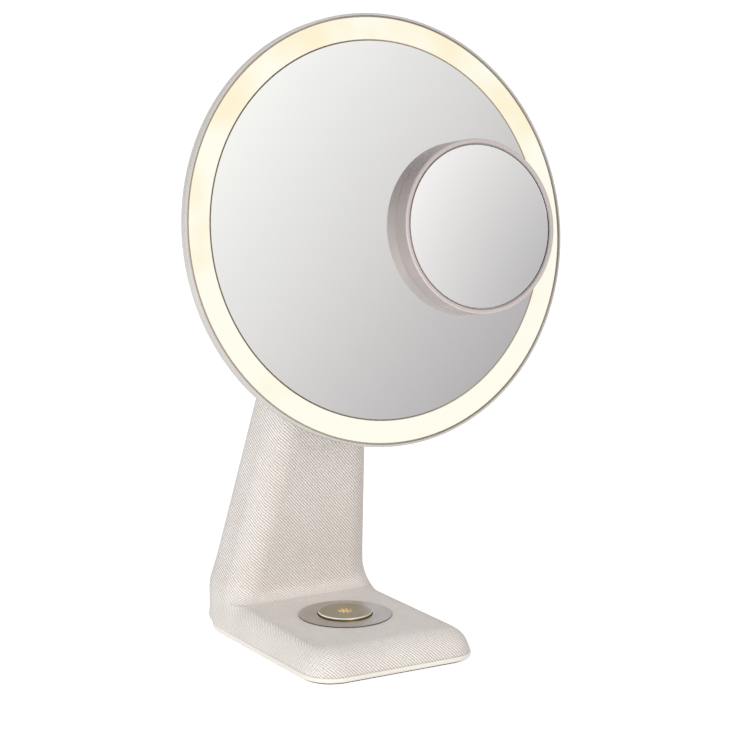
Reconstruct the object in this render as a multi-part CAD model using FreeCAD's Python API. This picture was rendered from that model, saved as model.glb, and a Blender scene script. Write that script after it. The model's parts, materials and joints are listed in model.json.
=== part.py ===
"""Lighted table mirror: a fabric-covered leaning stand, a tilting lit head and a magnetic magnifier.

Millimetres, +Z up, front towards -Y. The origin is the middle of the foot, on the table.
"""
import FreeCAD
import Part
import math
import os
from FreeCAD import Placement, Rotation, Vector

# Clearances and fits
CLEAR = 0.3              # between pieces that are put together by hand
RUNNING_FIT = 0.05       # hinge bore over hinge pin, on the radius
FACE_GAP = 0.05          # between flat faces that rub or are pressed lightly
PRESS_GAP = 0.02         # between pieces that are pressed or screwed home

# Foot of the stand
RIM_WIDTH = 113.2
RIM_DEPTH = 157.0
RIM_HEIGHT = 3.0
RIM_LIP = 0.6            # how far the rim stands out past the fabric
RIM_ROUND = 1.2
FOOT_HEIGHT = 1.0
FOOT_INSET = 2.5
TRAY_FLOOR = 2.0
UPSTAND_HEIGHT = 4.0
UPSTAND_WALL = 1.6

# Outer form of the stand: a pad and a column that leans forward and tapers
PAD_HEIGHT = 15.0        # from the rim's top to the pad's top
FRONT_RAKE = 10.0        # degrees
COLUMN_REF = 27.0        # height over the rim's top at which the column's size is given
COLUMN_FROM_BACK = 40.9  # column's front before the rim's back, at that height
COLUMN_DEPTH = 47.2
COLUMN_FROM_SIDE = 8.8   # column's side inside the rim's side, at that height
COLUMN_LEAN = 15.0       # degrees
COLUMN_TOP_WIDTH = 41.2
COLUMN_HEIGHT = 228.0    # from the rim's top to the end of the fabric
FLARE_HEIGHT = 44.0      # over this height the sides run out to the rim
INNER_ROUND = 6.5
BULGE_HEIGHT = 18.0      # over this height the back runs in to the rim
BULGE_ROUND = 25.0
FRONT_CORNER_ROUND = 19.0
BACK_CORNER_ROUND = 17.0
FOOT_BACK_ROUND = 30.0   # the rim's back corners, which the cloth tucks in to meet
TUCK_HEIGHT = 12.0
EDGE_ROUND = 16.0
FABRIC_THICKNESS = 1.0
SHELL_WALL = 2.2
CAP_HEIGHT = 8.0
CAP_ROOF = 3.0
CAP_ROUND = 4.0
SPIGOT_DEPTH = 5.0
SPIGOT_WALL = 1.6

# Screws: shank radius, head radius, head height
SMALL_SCREW = (1.0, 1.9, 1.2)
BODY_SCREW = (1.5, 2.8, 1.6)
FRAME_SCREW = (2.0, 3.6, 2.4)

# Inside the foot
POST_RADIUS = 3.5
POST_FROM_SIDE = 16.6
POST_FROM_FRONT = 18.0
POST_BEFORE_COLUMN = 12.0
POST_GRIP = 7.0          # length of screw thread in a post
BALLAST_THICKNESS = 3.5
BALLAST_MARGIN = 8.2
BATTERY_DEPTH = 24.0
BATTERY_HEIGHT = 7.0
BATTERY_ROUND = 2.0
BATTERY_FROM_FRONT = 8.6
BATTERY_FROM_SIDE = 21.6
BOARD_THICKNESS = 1.4
BOARD_WIDTH = 44.0
BOARD_DEPTH = 40.0
BOARD_HOLE_INSET = 4.0
SPACER_RADIUS = 2.4

# Spine that carries the head
SPINE_WIDTH = 24.0
SPINE_THICKNESS = 8.0
SPINE_SHORT_OF_TOP = 6.0
SPINE_FOOT = (56.0, 27.0, 3.0)
SPINE_SCREW_INSET = 6.0

# Control plate and button
PLATE_RADIUS = 28.2
PLATE_OFFSET = 7.3       # behind the middle of the pad's top
PLATE_THICKNESS = 0.8
PLATE_EDGE = 0.3
COLLAR_RADIUS = 21.4
COLLAR_WALL = 1.8
STUD_RADIUS = 1.5
STUD_CIRCLE = 24.6
STUD_COUNT = 3
NUT_HEIGHT = 2.0
NUT_ACROSS = 5.5
HOUSING_WALL = 2.0
HOUSING_FLOOR = 1.0
HOUSING_FLANGE = 2.0
BUTTON_RADIUS = 16.4
BUTTON_GAP = 0.5
BUTTON_PROUD = 1.6
BUTTON_TOP = 1.2
BUTTON_EDGE = 0.7
BUTTON_SKIRT = 1.0
BUTTON_TRAVEL = 0.8
RETAIN_GAP = 0.8         # from the carrier's lip up to the plate
LIP_THICKNESS = 1.0
ICON_BASE_RADIUS = 6.0
ICON_BASE = 0.8
SUN_RADIUS = 1.9
RAY_START = 2.7
RAY_END = 4.3
RAY_WIDTH = 0.75
RAY_COUNT = 8
STEM_RADIUS = 3.2
SPRING_LENGTH = 4.0
SPRING_RADIUS = 8.0
SPRING_WIRE = 0.4
SPRING_TURNS = 2.5
SPRING_SIDES = 8
SWITCH_SIZE = 6.0
SWITCH_HEIGHT = 2.6
PLUNGER_RADIUS = 1.7
PLUNGER_PROUD = 1.2
PLUNGER_DEPTH = 0.8

# Charging socket at the back of the foot
SOCKET_WIDTH = 8.9
SOCKET_HEIGHT = 3.2
SOCKET_DEPTH = 9.0
SOCKET_WALL = 0.35
SOCKET_RECESS = 0.8
TONGUE_WIDTH = 6.6
TONGUE_THICKNESS = 0.7
TONGUE_RECESS = 1.0
BEZEL_WALL = 1.4
BEZEL_PROUD = 0.6
BEZEL_LIP = 1.3
CHARGE_BOARD = (28.0, 7.0, 1.2)
SHELF_THICKNESS = 1.4

# Lead from the control board up the column
LEAD_RADIUS = 1.5
LEAD_BEND = 16.0
LEAD_PLUG = (5.0, 6.0, 8.0)
PLUG_BELOW_YOKE = 10.0

# Head, measured from its front plane, which is tilted back
HEAD_RADIUS = 124.6
HEAD_BEFORE_COLUMN = 35.6
HEAD_OVER_CAP = 19.0
HEAD_TILT = 10.3         # degrees
FRAME_DEPTH = 5.0
FRAME_WALL = 1.3
FRAME_ROUND = 0.5
LEDGE_DEPTH = 3.2
LEDGE_THICKNESS = 1.6
LEDGE_REACH = 2.4
RING_GAP = 1.1           # dark gap between the frame and the lit ring
FACE_RECESS = 0.4        # glass and ring behind the frame's front edge
RING_WIDTH = 12.6
MIRROR_THICKNESS = 3.0
MIRROR_GAP = 0.9         # dark gap between the lit ring and the glass
TAPE_THICKNESS = 0.2
TAPE_WIDTH = 22.7
TAPE_MARGIN = 4.0
CARRIER_PLATE = 2.0
CARRIER_WALL = 1.6
CARRIER_FLOOR = 1.2
CHANNEL_DEPTH = 3.2      # light channel behind the ring
CARRIER_EDGE_GAP = 5.4
COVER_DEPTH = 8.0        # from the frame's back edge to the back of the head
COVER_WALL = 2.0
COVER_ROUND = 16.0
COVER_SCREW_COUNT = 6
COVER_SCREW_INSET = 26.6
COVER_POST_RADIUS = 3.4
KEEPER_RADIUS = 19.8
KEEPER_THICKNESS = 1.2
LED_COUNT = 48
LED_SIZE = (3.5, 2.8, 0.8)
LED_BOARD_WIDTH = 6.0
LED_BOARD_THICKNESS = 1.0
HEAD_LEAD_RADIUS = 0.9
HEAD_LEAD_START = 28.0

# Hinge between the column and the head
PIVOT_BACK = 30.0        # hinge axis behind the head's front plane
PIN_RADIUS = 4.0
PIN_HEAD_RADIUS = 6.5
PIN_HEAD = 2.0
TONGUE_HALF = 6.0
TONGUE_RADIUS = 7.0
WASHER_THICKNESS = 1.0
WASHER_RADIUS = 7.6
EAR_THICKNESS = 4.0
EAR_RADIUS = 8.0
ARM_HALF_WIDTH = 6.0
ARM_SETBACK = 3.0        # arm's foot in front of the spine's middle
KNEE_OVER_CAP = 7.0      # bend of the arm over the column's cap
WEB_THICKNESS = 5.0
WEB_FRONT = 14.0
WEB_BACK = 7.0
WEB_SCREW_X = 3.6
WEB_SCREW_LENGTH = 12.5
SPRING_WASHER = 0.9
PIN_NUT = (13.0, 3.4)    # across the flats, height
FLANGE_RADIUS = 24.0
FLANGE_THICKNESS = 3.0
FLANGE_SCREW_CIRCLE = 17.5
FLANGE_SCREW_COUNT = 4
BACKING_RADIUS = 26.0
BACKING_THICKNESS = 1.6

# Magnifier that holds on the mirror by magnets
MAGNIFIER_INSET = 63.5   # middle of the magnifier inside the head's edge
MAGNIFIER_V = -2.6
MAGNIFIER_RADIUS = 51.3
MAGNIFIER_DEPTH = 11.0
MAGNIFIER_WALL = 3.3
MAGNIFIER_BACK = 1.4
MAGNIFIER_ROUND = 1.0
INNER_BEVEL = 0.9
LENS_THICKNESS = 1.8
LENS_CURVE = 400.0       # radius of the hollow glass
LENS_RECESS = 1.2
LENS_SEAT = 2.4
MAGNET_RADIUS = 5.0
MAGNET_THICKNESS = 1.2
MAGNET_COUNT = 3
MAGNET_CIRCLE = 12.0
PAD_THICKNESS = 0.6
PAD_RADIUS = 40.0
LIFT_GAP = 0.1           # between the pad and the mirror

# Levels and places that follow from the sizes above
RIM_TOP = FOOT_HEIGHT + RIM_HEIGHT
FLOOR_TOP = FOOT_HEIGHT + TRAY_FLOOR
BALLAST_TOP = FLOOR_TOP + BALLAST_THICKNESS
PAD_TOP = RIM_TOP + PAD_HEIGHT
COLUMN_TOP = RIM_TOP + COLUMN_HEIGHT
CAP_TOP = COLUMN_TOP + CAP_HEIGHT
FABRIC_HALF_WIDTH = RIM_WIDTH / 2 - RIM_LIP
FABRIC_FRONT = -(RIM_DEPTH / 2 - RIM_LIP)
FABRIC_BACK = RIM_DEPTH / 2 - RIM_LIP
SHELL_INSET = FABRIC_THICKNESS
INSIDE = FABRIC_THICKNESS + SHELL_WALL
CEILING = PAD_TOP - INSIDE
LEAN_SLOPE = math.tan(math.radians(COLUMN_LEAN))
COLUMN_FRONT_Y = RIM_DEPTH / 2 - COLUMN_FROM_BACK
COLUMN_HALF_WIDTH = RIM_WIDTH / 2 - COLUMN_FROM_SIDE
TAPER_SLOPE = (COLUMN_HALF_WIDTH - COLUMN_TOP_WIDTH / 2) / (COLUMN_HEIGHT - COLUMN_REF)
PAD_BACK = COLUMN_FRONT_Y + (COLUMN_REF - PAD_HEIGHT) * LEAN_SLOPE
PLATE_Y = (FABRIC_FRONT + PAD_BACK) / 2 + PLATE_OFFSET

PLATE_TOP = PAD_TOP + PLATE_THICKNESS
BUTTON_TOP_Z = PLATE_TOP + BUTTON_PROUD
ICON_TOP = BUTTON_TOP_Z - BUTTON_TOP
CARRIER_TOP = ICON_TOP - ICON_BASE
LIP_TOP = PAD_TOP - RETAIN_GAP
LIP_UNDER = LIP_TOP - LIP_THICKNESS
HOUSING_FLOOR_TOP = LIP_UNDER - SPRING_LENGTH
HOUSING_UNDER = HOUSING_FLOOR_TOP - HOUSING_FLOOR
PLATE_HOLE = BUTTON_RADIUS + BUTTON_GAP
HOUSING_OUTER = COLLAR_RADIUS - COLLAR_WALL - PRESS_GAP
HOUSING_INNER = HOUSING_OUTER - HOUSING_WALL
FLANGE_OUTER = STUD_CIRCLE + STUD_RADIUS + 2 * CLEAR
SWITCH_TOP = HOUSING_UNDER + CLEAR / 2
BOARD_TOP = SWITCH_TOP - SWITCH_HEIGHT
BOARD_UNDER = BOARD_TOP - BOARD_THICKNESS
PLUNGER_TOP = SWITCH_TOP + PLUNGER_PROUD

SPINE_TOP = COLUMN_TOP - SPINE_SHORT_OF_TOP
WEB_TOP = SPINE_TOP + WEB_THICKNESS
EAR_INNER = TONGUE_HALF + WASHER_THICKNESS + 2 * FACE_GAP
EAR_OUTER = EAR_INNER + EAR_THICKNESS
TILT = math.radians(HEAD_TILT)
HEAD_Y = COLUMN_FRONT_Y - (CAP_TOP - RIM_TOP - COLUMN_REF) * LEAN_SLOPE - HEAD_BEFORE_COLUMN
HEAD_Z = CAP_TOP + HEAD_OVER_CAP
PIVOT_Y = HEAD_Y + PIVOT_BACK * math.cos(TILT)
PIVOT_Z = HEAD_Z - PIVOT_BACK * math.sin(TILT)

MIRROR_BACK = -FACE_RECESS - MIRROR_THICKNESS
SHELF_Z = MIRROR_BACK - TAPE_THICKNESS
CHANNEL_FLOOR = -LEDGE_DEPTH - CHANNEL_DEPTH
COVER_OUTER_Z = -FRAME_DEPTH - COVER_DEPTH
COVER_INNER_Z = COVER_OUTER_Z + COVER_WALL
RING_OUTER = HEAD_RADIUS - FRAME_WALL - RING_GAP
RING_INNER = RING_OUTER - RING_WIDTH
MIRROR_RADIUS = RING_INNER - MIRROR_GAP
MAGNIFIER_X = HEAD_RADIUS - MAGNIFIER_INSET
CARRIER_RIB = RING_INNER - CLEAR
CHANNEL_INNER = CARRIER_RIB + CARRIER_WALL
CARRIER_OUTER = HEAD_RADIUS - CARRIER_EDGE_GAP
LED_CIRCLE = (RING_INNER + RING_OUTER) / 2


# Basic shapes

def disc(radius, low, high, x=0.0, y=0.0):
    """An upright cylinder between two heights."""
    return Part.makeCylinder(radius, high - low, Vector(x, y, low))


def ring(inner, outer, low, high, x=0.0, y=0.0):
    return disc(outer, low, high, x, y).cut(disc(inner, low, high, x, y))


def block(x0, x1, y0, y1, z0, z1):
    return Part.makeBox(x1 - x0, y1 - y0, z1 - z0, Vector(x0, y0, z0))


def turned(points):
    """A solid turned about Z from an outline of (radius, height) points."""
    corners = [Vector(r, 0, z) for r, z in points]
    face = Part.Face(Part.makePolygon(corners + corners[:1]))
    return face.revolve(Vector(0, 0, 0), Vector(0, 0, 1), 360)


def hexagon(across, low, high):
    corner = across / math.sqrt(3)
    angles = [math.radians(60 * k) for k in range(7)]
    points = [Vector(corner * math.cos(a), corner * math.sin(a), low) for a in angles]
    return Part.Face(Part.makePolygon(points)).extrude(Vector(0, 0, high - low))


def around(count, radius, x=0.0, y=0.0, first=0.0):
    """Places spread evenly on a circle, the first at an angle in degrees."""
    angles = [math.radians(first + 360.0 * k / count) for k in range(count)]
    return [(x + radius * math.cos(a), y + radius * math.sin(a)) for a in angles]


def group(shapes):
    return Part.makeCompound(shapes)


def moved(shape, x=0.0, y=0.0, z=0.0):
    copy = shape.copy()
    copy.translate(Vector(x, y, z))
    return copy


def pan_screw(sizes, length):
    """A screw that points down, with the underside of its head at height 0."""
    shank, head, height = sizes
    body = disc(shank, -length, 0).fuse(disc(head, 0, height))
    return body.removeSplitter()


def flat_screw(sizes, length):
    """A countersunk screw that points up, with its head flush at height 0."""
    shank, head, height = sizes
    cone = Part.makeCone(head, shank, height)
    return cone.fuse(disc(shank, height, length)).removeSplitter()


# Outlines with rounded corners

def unit(a, b):
    length = math.hypot(b[0] - a[0], b[1] - a[1])
    return ((b[0] - a[0]) / length, (b[1] - a[1]) / length)


def meet(p, d, q, e):
    """The point where two lines, each a point and a direction, cross."""
    t = ((q[0] - p[0]) * e[1] - (q[1] - p[1]) * e[0]) / (d[0] * e[1] - d[1] * e[0])
    return (p[0] + d[0] * t, p[1] + d[1] * t)


def inset_outline(points, insets):
    """Move each side of a counter-clockwise outline inwards by its own distance."""
    sides = []
    for k, start in enumerate(points):
        d = unit(start, points[(k + 1) % len(points)])
        sides.append(((start[0] - d[1] * insets[k], start[1] + d[0] * insets[k]), d))
    return [meet(*sides[k - 1], *sides[k]) for k in range(len(sides))]


def round_corner(before, corner, after, radius):
    """Start, middle and end of the arc that rounds a corner."""
    u = unit(corner, before)
    v = unit(corner, after)
    half = math.acos(u[0] * v[0] + u[1] * v[1]) / 2
    reach = radius / math.tan(half)
    middle = radius / math.sin(half) - radius
    w = unit((0, 0), (u[0] + v[0], u[1] + v[1]))
    start = (corner[0] + u[0] * reach, corner[1] + u[1] * reach)
    end = (corner[0] + v[0] * reach, corner[1] + v[1] * reach)
    return start, (corner[0] + w[0] * middle, corner[1] + w[1] * middle), end


def rounded_face(points, radii, place):
    """A face from an outline whose corners have the given radii, 0 for a sharp one."""
    corners = []
    for k, corner in enumerate(points):
        if radii[k]:
            after = points[(k + 1) % len(points)]
            corners.append(round_corner(points[k - 1], corner, after, radii[k]))
        else:
            corners.append((corner, None, corner))
    edges = []
    for k, (start, middle, end) in enumerate(corners):
        if middle:
            edges.append(Part.Arc(place(start), place(middle), place(end)).toShape())
        edges.append(Part.makeLine(place(end), place(corners[(k + 1) % len(corners)][0])))
    return Part.Face(Part.Wire(edges))


def plan_face(inset, z):
    """The rim's outline at a height, drawn in by an inset."""
    x = RIM_WIDTH / 2
    y = RIM_DEPTH / 2
    points = inset_outline([(-x, -y), (x, -y), (x, y), (-x, y)], [inset] * 4)
    front = FRONT_CORNER_ROUND + RIM_LIP - inset
    back = FOOT_BACK_ROUND + RIM_LIP - inset
    return rounded_face(points, [front, front, back, back], lambda p: Vector(p[0], p[1], z))


def plan_slab(inset, low, high):
    """A slab with the rim's outline."""
    return plan_face(inset, low).extrude(Vector(0, 0, high - low))


def slot(width, height, y0, y1, middle_z):
    """A bar along Y with fully round sides."""
    x = width / 2
    z = height / 2
    points = [(-x, -z), (x, -z), (x, z), (-x, z)]
    radii = [z * 0.999] * 4
    face = rounded_face(points, radii, lambda p: Vector(p[0], y0, middle_z + p[1]))
    return face.extrude(Vector(0, y1 - y0, 0))


# Form of the stand

def column_front(z):
    return COLUMN_FRONT_Y - (z - RIM_TOP - COLUMN_REF) * LEAN_SLOPE


def column_middle(z):
    return column_front(z) + COLUMN_DEPTH / 2


def side_outline(inset):
    """Corners of the stand seen from the side, and their radii."""
    bulge = RIM_TOP + BULGE_HEIGHT
    rake = PAD_HEIGHT * math.tan(math.radians(FRONT_RAKE))
    points = [(FABRIC_FRONT, RIM_TOP), (FABRIC_BACK, RIM_TOP), (column_front(bulge) + COLUMN_DEPTH, bulge)]
    points += [(column_front(CAP_TOP) + COLUMN_DEPTH, CAP_TOP), (column_front(CAP_TOP), CAP_TOP)]
    points += [(column_front(PAD_TOP), PAD_TOP), (FABRIC_FRONT + rake, PAD_TOP)]
    radii = [0, 0, BULGE_ROUND - inset, 0, 0, INNER_ROUND + inset, 0]
    return inset_outline(points, [0] + [inset] * 6), radii


def side_view(inset):
    """The stand seen from the side: pad, column, and a back that runs in to the rim."""
    points, radii = side_outline(inset)
    face = rounded_face(points, radii, lambda p: Vector(-RIM_WIDTH, p[0], p[1]))
    return face.extrude(Vector(2 * RIM_WIDTH, 0, 0))


def back_peak():
    """The (y, z) point of the stand's back that stands out furthest, where its wall is upright."""
    points, radii = side_outline(0)
    before, corner, after = points[1:4]
    start, middle, end = round_corner(before, corner, after, radii[2])
    inward = unit(corner, middle)
    centre = (middle[0] + inward[0] * radii[2], middle[1] + inward[1] * radii[2])
    return centre[0] + radii[2], centre[1]


def front_view(inset):
    """The stand seen from the front: straight tapered sides that flare out to the rim."""
    angle = math.atan(TAPER_SLOPE)
    out = (math.cos(angle), math.sin(angle))
    flare_z = RIM_TOP + FLARE_HEIGHT
    start = (COLUMN_HALF_WIDTH - (FLARE_HEIGHT - COLUMN_REF) * TAPER_SLOPE, flare_z)
    run = (FABRIC_HALF_WIDTH - start[0], RIM_TOP - flare_z)
    radius = (run[0] ** 2 + run[1] ** 2) / (2 * (run[0] * out[0] + run[1] * out[1]))
    centre = (start[0] + radius * out[0], start[1] + radius * out[1])

    def flare(z):
        return centre[0] - math.sqrt((radius + inset) ** 2 - (z - centre[1]) ** 2)

    joint = (start[0] - inset * out[0], start[1] - inset * out[1])
    middle = (RIM_TOP + joint[1]) / 2
    peak = CAP_TOP + CAP_HEIGHT
    peak_x = joint[0] - (peak - joint[1]) * TAPER_SLOPE
    right = [(flare(RIM_TOP), RIM_TOP), (flare(middle), middle), joint, (peak_x, peak)]
    foot, bow, hip, tip = [Vector(x, -RIM_DEPTH, z) for x, z in right]
    foot_l, bow_l, hip_l, tip_l = [Vector(-x, -RIM_DEPTH, z) for x, z in right]
    edges = [Part.Arc(foot, bow, hip).toShape(), Part.makeLine(hip, tip), Part.makeLine(tip, tip_l)]
    edges += [Part.makeLine(tip_l, hip_l), Part.Arc(hip_l, bow_l, foot_l).toShape()]
    edges += [Part.makeLine(foot_l, foot)]
    return Part.Face(Part.Wire(edges)).extrude(Vector(0, 2 * RIM_DEPTH, 0))


def sharp_edges(solid, wanted):
    """Edges with a clear angle between their two faces, and whose middle is wanted."""
    found = []
    for edge in solid.Edges:
        middle = edge.valueAt((edge.FirstParameter + edge.LastParameter) / 2)
        faces = solid.ancestorsOfType(edge, Part.Face)
        normals = [face.normalAt(*face.Surface.parameter(middle)) for face in faces]
        if len(normals) == 2 and normals[0].getAngle(normals[1]) > 0.2 and wanted(middle):
            found.append(edge)
    return found


def beyond_tuck(inset):
    """The space outside the foot, whose wall leans out at 45 degrees from the rim's outline."""
    foot = plan_face(RIM_LIP + inset, RIM_TOP).OuterWire
    grown = plan_face(RIM_LIP + inset - TUCK_HEIGHT, RIM_TOP + TUCK_HEIGHT).OuterWire
    bowl = Part.makeLoft([foot, grown], True, True)
    return between(RIM_TOP, RIM_TOP + TUCK_HEIGHT).cut(bowl)


def stand_form(inset):
    """The stand's whole form, drawn in by an inset everywhere but at its foot."""
    solid = side_view(inset).common(front_view(inset)).removeSplitter().Solids[0]
    low = RIM_TOP + 0.5
    high = CAP_TOP - inset - 0.5
    pad = PAD_TOP - inset - 0.5

    def at_front(p):
        return low < p.z < pad and p.y < FABRIC_FRONT + PAD_HEIGHT and abs(p.x) > BUTTON_RADIUS

    def at_back(p):
        return low < p.z < high and p.y > column_middle(max(p.z, RIM_TOP + COLUMN_REF))

    solid = solid.makeFillet(FRONT_CORNER_ROUND - inset, sharp_edges(solid, at_front))
    solid = solid.makeFillet(BACK_CORNER_ROUND - inset, sharp_edges(solid, at_back))
    solid = solid.makeFillet(EDGE_ROUND - inset, sharp_edges(solid, lambda p: low < p.z < high))
    cap_edges = sharp_edges(solid, lambda p: p.z > high)
    solid = solid.makeFillet(max(CAP_ROUND - inset, CLEAR), cap_edges)
    return solid.cut(beyond_tuck(inset)).removeSplitter()


def between(low, high):
    """All of the space round the stand between two heights."""
    return block(-RIM_WIDTH, RIM_WIDTH, -RIM_DEPTH, RIM_DEPTH, low, high)


def behind_split():
    """The space behind the joint between the front and rear shells."""
    line = [(column_middle(0), 0), (RIM_DEPTH, 0), (RIM_DEPTH, CAP_TOP), (column_middle(CAP_TOP), CAP_TOP)]
    points = [Vector(-RIM_WIDTH, y, z) for y, z in line]
    face = Part.Face(Part.makePolygon(points + points[:1]))
    return face.extrude(Vector(2 * RIM_WIDTH, 0, 0))


# Foot

def post_places():
    x = RIM_WIDTH / 2 - POST_FROM_SIDE
    ys = (-RIM_DEPTH / 2 + POST_FROM_FRONT, COLUMN_FRONT_Y - POST_BEFORE_COLUMN)
    return [(side * x, y) for side in (-1, 1) for y in ys]


def foot_pad():
    return plan_slab(FOOT_INSET, 0, FOOT_HEIGHT)


def base_tray():
    slab = plan_slab(0, FOOT_HEIGHT, RIM_TOP)
    outer = [e for e in slab.Edges if e.BoundBox.ZLength < 0.01]
    slab = slab.makeFillet(RIM_ROUND, outer)
    wall_inset = RIM_LIP + INSIDE + CLEAR + UPSTAND_WALL
    slab = slab.cut(plan_slab(wall_inset + CLEAR, FLOOR_TOP, RIM_TOP))
    outer_wall = stand_form(INSIDE + CLEAR)
    inner_wall = stand_form(INSIDE + CLEAR + UPSTAND_WALL)
    upstand = outer_wall.cut(inner_wall).common(between(RIM_TOP, RIM_TOP + UPSTAND_HEIGHT))
    tray = slab.fuse(upstand)
    screw = flat_screw(BODY_SCREW, TRAY_FLOOR)
    for x, y in post_places():
        tray = tray.cut(moved(screw, x, y, FOOT_HEIGHT))
    return tray.removeSplitter()


def tray_screws():
    screw = flat_screw(BODY_SCREW, TRAY_FLOOR + POST_GRIP)
    return group([moved(screw, x, y, FOOT_HEIGHT) for x, y in post_places()])


def ballast_plate():
    slab = plan_slab(BALLAST_MARGIN, FLOOR_TOP, BALLAST_TOP)
    for x, y in post_places():
        slab = slab.cut(disc(POST_RADIUS + CLEAR, FLOOR_TOP, BALLAST_TOP, x, y))
    for x, y in spine_screw_places():
        slab = slab.cut(disc(FRAME_SCREW[0] + PRESS_GAP, FLOOR_TOP, BALLAST_TOP, x, y))
    for x, y in board_holes():
        slab = slab.cut(disc(SMALL_SCREW[0] + PRESS_GAP, FLOOR_TOP, BALLAST_TOP, x, y))
    return slab


def battery_pack():
    x = RIM_WIDTH / 2 - BATTERY_FROM_SIDE
    y = -RIM_DEPTH / 2 + BATTERY_FROM_FRONT
    pack = block(-x, x, y, y + BATTERY_DEPTH, BALLAST_TOP, BALLAST_TOP + BATTERY_HEIGHT)
    long_edges = [e for e in pack.Edges if e.BoundBox.XLength > x]
    return pack.makeFillet(BATTERY_ROUND, long_edges)


def board_holes():
    x = BOARD_WIDTH / 2 - BOARD_HOLE_INSET
    y = BOARD_DEPTH / 2 - BOARD_HOLE_INSET
    return [(a * x, PLATE_Y + b * y) for a in (-1, 1) for b in (-1, 1)]


def control_board():
    y = BOARD_DEPTH / 2
    board = block(-BOARD_WIDTH / 2, BOARD_WIDTH / 2, PLATE_Y - y, PLATE_Y + y, BOARD_UNDER, BOARD_TOP)
    for x, y in board_holes():
        board = board.cut(disc(SMALL_SCREW[0] + CLEAR, BOARD_UNDER, BOARD_TOP, x, y))
    return board


def board_spacers():
    bore = SMALL_SCREW[0] + CLEAR
    return group([ring(bore, SPACER_RADIUS, BALLAST_TOP, BOARD_UNDER, x, y) for x, y in board_holes()])


def board_screws():
    screw = pan_screw(SMALL_SCREW, BOARD_TOP - FLOOR_TOP - CLEAR)
    return group([moved(screw, x, y, BOARD_TOP) for x, y in board_holes()])


# Charging socket

def port_z():
    return back_peak()[1]


def socket_under():
    return port_z() - SOCKET_HEIGHT / 2


def bezel_size():
    return SOCKET_WIDTH + 2 * (CLEAR + BEZEL_WALL), SOCKET_HEIGHT + 2 * (CLEAR + BEZEL_WALL)


def outside_back():
    return back_peak()[0]


def inside_back():
    return outside_back() - INSIDE


def port_bezel():
    width, height = bezel_size()
    outer = outside_back() + BEZEL_PROUD
    body = slot(width, height, inside_back() + CLEAR, outer, port_z())
    lip = 2 * BEZEL_LIP
    body = body.fuse(slot(width + lip, height + lip, outside_back() + PRESS_GAP, outer, port_z()))
    bore = slot(SOCKET_WIDTH + 2 * CLEAR, SOCKET_HEIGHT + 2 * CLEAR, inside_back(), RIM_DEPTH, port_z())
    return body.cut(bore).removeSplitter()


def port_hole():
    width, height = bezel_size()
    return slot(width + PRESS_GAP, height + PRESS_GAP, inside_back() - CLEAR, RIM_DEPTH, port_z())


def usb_socket():
    mouth = outside_back() - SOCKET_RECESS
    root = mouth - SOCKET_DEPTH
    can = slot(SOCKET_WIDTH, SOCKET_HEIGHT, root, mouth, port_z())
    wall = 2 * SOCKET_WALL
    can = can.cut(slot(SOCKET_WIDTH - wall, SOCKET_HEIGHT - wall, root + SOCKET_WALL, mouth, port_z()))
    half = TONGUE_THICKNESS / 2
    end = mouth - TONGUE_RECESS
    tongue = block(-TONGUE_WIDTH / 2, TONGUE_WIDTH / 2, root, end, port_z() - half, port_z() + half)
    return can.fuse(tongue).removeSplitter()


def charge_board():
    width, depth, thickness = CHARGE_BOARD
    back = inside_back() - CLEAR
    under = socket_under() - thickness
    return block(-width / 2, width / 2, back - depth, back, under, socket_under())


def charge_shelf():
    """Shelf on the rear shell under the charge board, clear of the bezel."""
    width, depth, thickness = CHARGE_BOARD
    top = socket_under() - thickness
    back = inside_back()
    shelf = block(-width / 2, width / 2, back - depth, back + SHELL_WALL / 2, top - SHELF_THICKNESS, top)
    half = bezel_size()[0] / 2 + CLEAR
    return shelf.cut(block(-half, half, back - CLEAR, back + SHELL_WALL, 0, COLUMN_TOP))


# Shells and fabric of the stand

def control_holes():
    """What the control plate needs cut through the pad: its collar and its studs."""
    low = CEILING - CLEAR
    high = PAD_TOP + CLEAR
    cut = disc(COLLAR_RADIUS + CLEAR, low, high, 0, PLATE_Y)
    for x, y in around(STUD_COUNT, STUD_CIRCLE, 0, PLATE_Y, 90):
        cut = cut.fuse(disc(STUD_RADIUS + CLEAR, low, high, x, y))
    return cut


def whole_shell(form, inner_form):
    return form.cut(inner_form).common(between(RIM_TOP, COLUMN_TOP))


def front_shell(shell):
    part = shell.cut(behind_split()).cut(control_holes())
    screw = BODY_SCREW[0] + PRESS_GAP
    reach = FLOOR_TOP + POST_GRIP + CLEAR
    for x, y in post_places():
        post = disc(POST_RADIUS, FLOOR_TOP, CEILING + SHELL_WALL / 2, x, y)
        part = part.fuse(post).cut(disc(screw, FLOOR_TOP, reach, x, y))
    return part.removeSplitter()


def rear_shell(shell):
    part = shell.common(behind_split()).fuse(charge_shelf())
    return part.cut(port_hole()).removeSplitter()


def fabric_cover(form, shell_form):
    sleeve = form.cut(shell_form).common(between(RIM_TOP, COLUMN_TOP))
    return sleeve.cut(control_holes()).cut(port_hole())


def column_cap(form):
    cap = form.common(between(COLUMN_TOP, CAP_TOP))
    spigot = stand_form(INSIDE + CLEAR).common(between(COLUMN_TOP - SPIGOT_DEPTH, COLUMN_TOP))
    hollow = stand_form(INSIDE + CLEAR + SPIGOT_WALL)
    cap = cap.fuse(spigot).cut(hollow.common(between(COLUMN_TOP - SPIGOT_DEPTH, CAP_TOP - CAP_ROOF)))
    for side in (-1, 1):
        cap = cap.cut(yoke_arm(side, CLEAR))
    return cap.removeSplitter()


# Spine and hinge

def spine_foot_y():
    """Middle of the spine's foot, kept clear of the rear wall."""
    return FABRIC_BACK - INSIDE - 3 * CLEAR - UPSTAND_WALL - SPINE_FOOT[1] / 2


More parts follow.
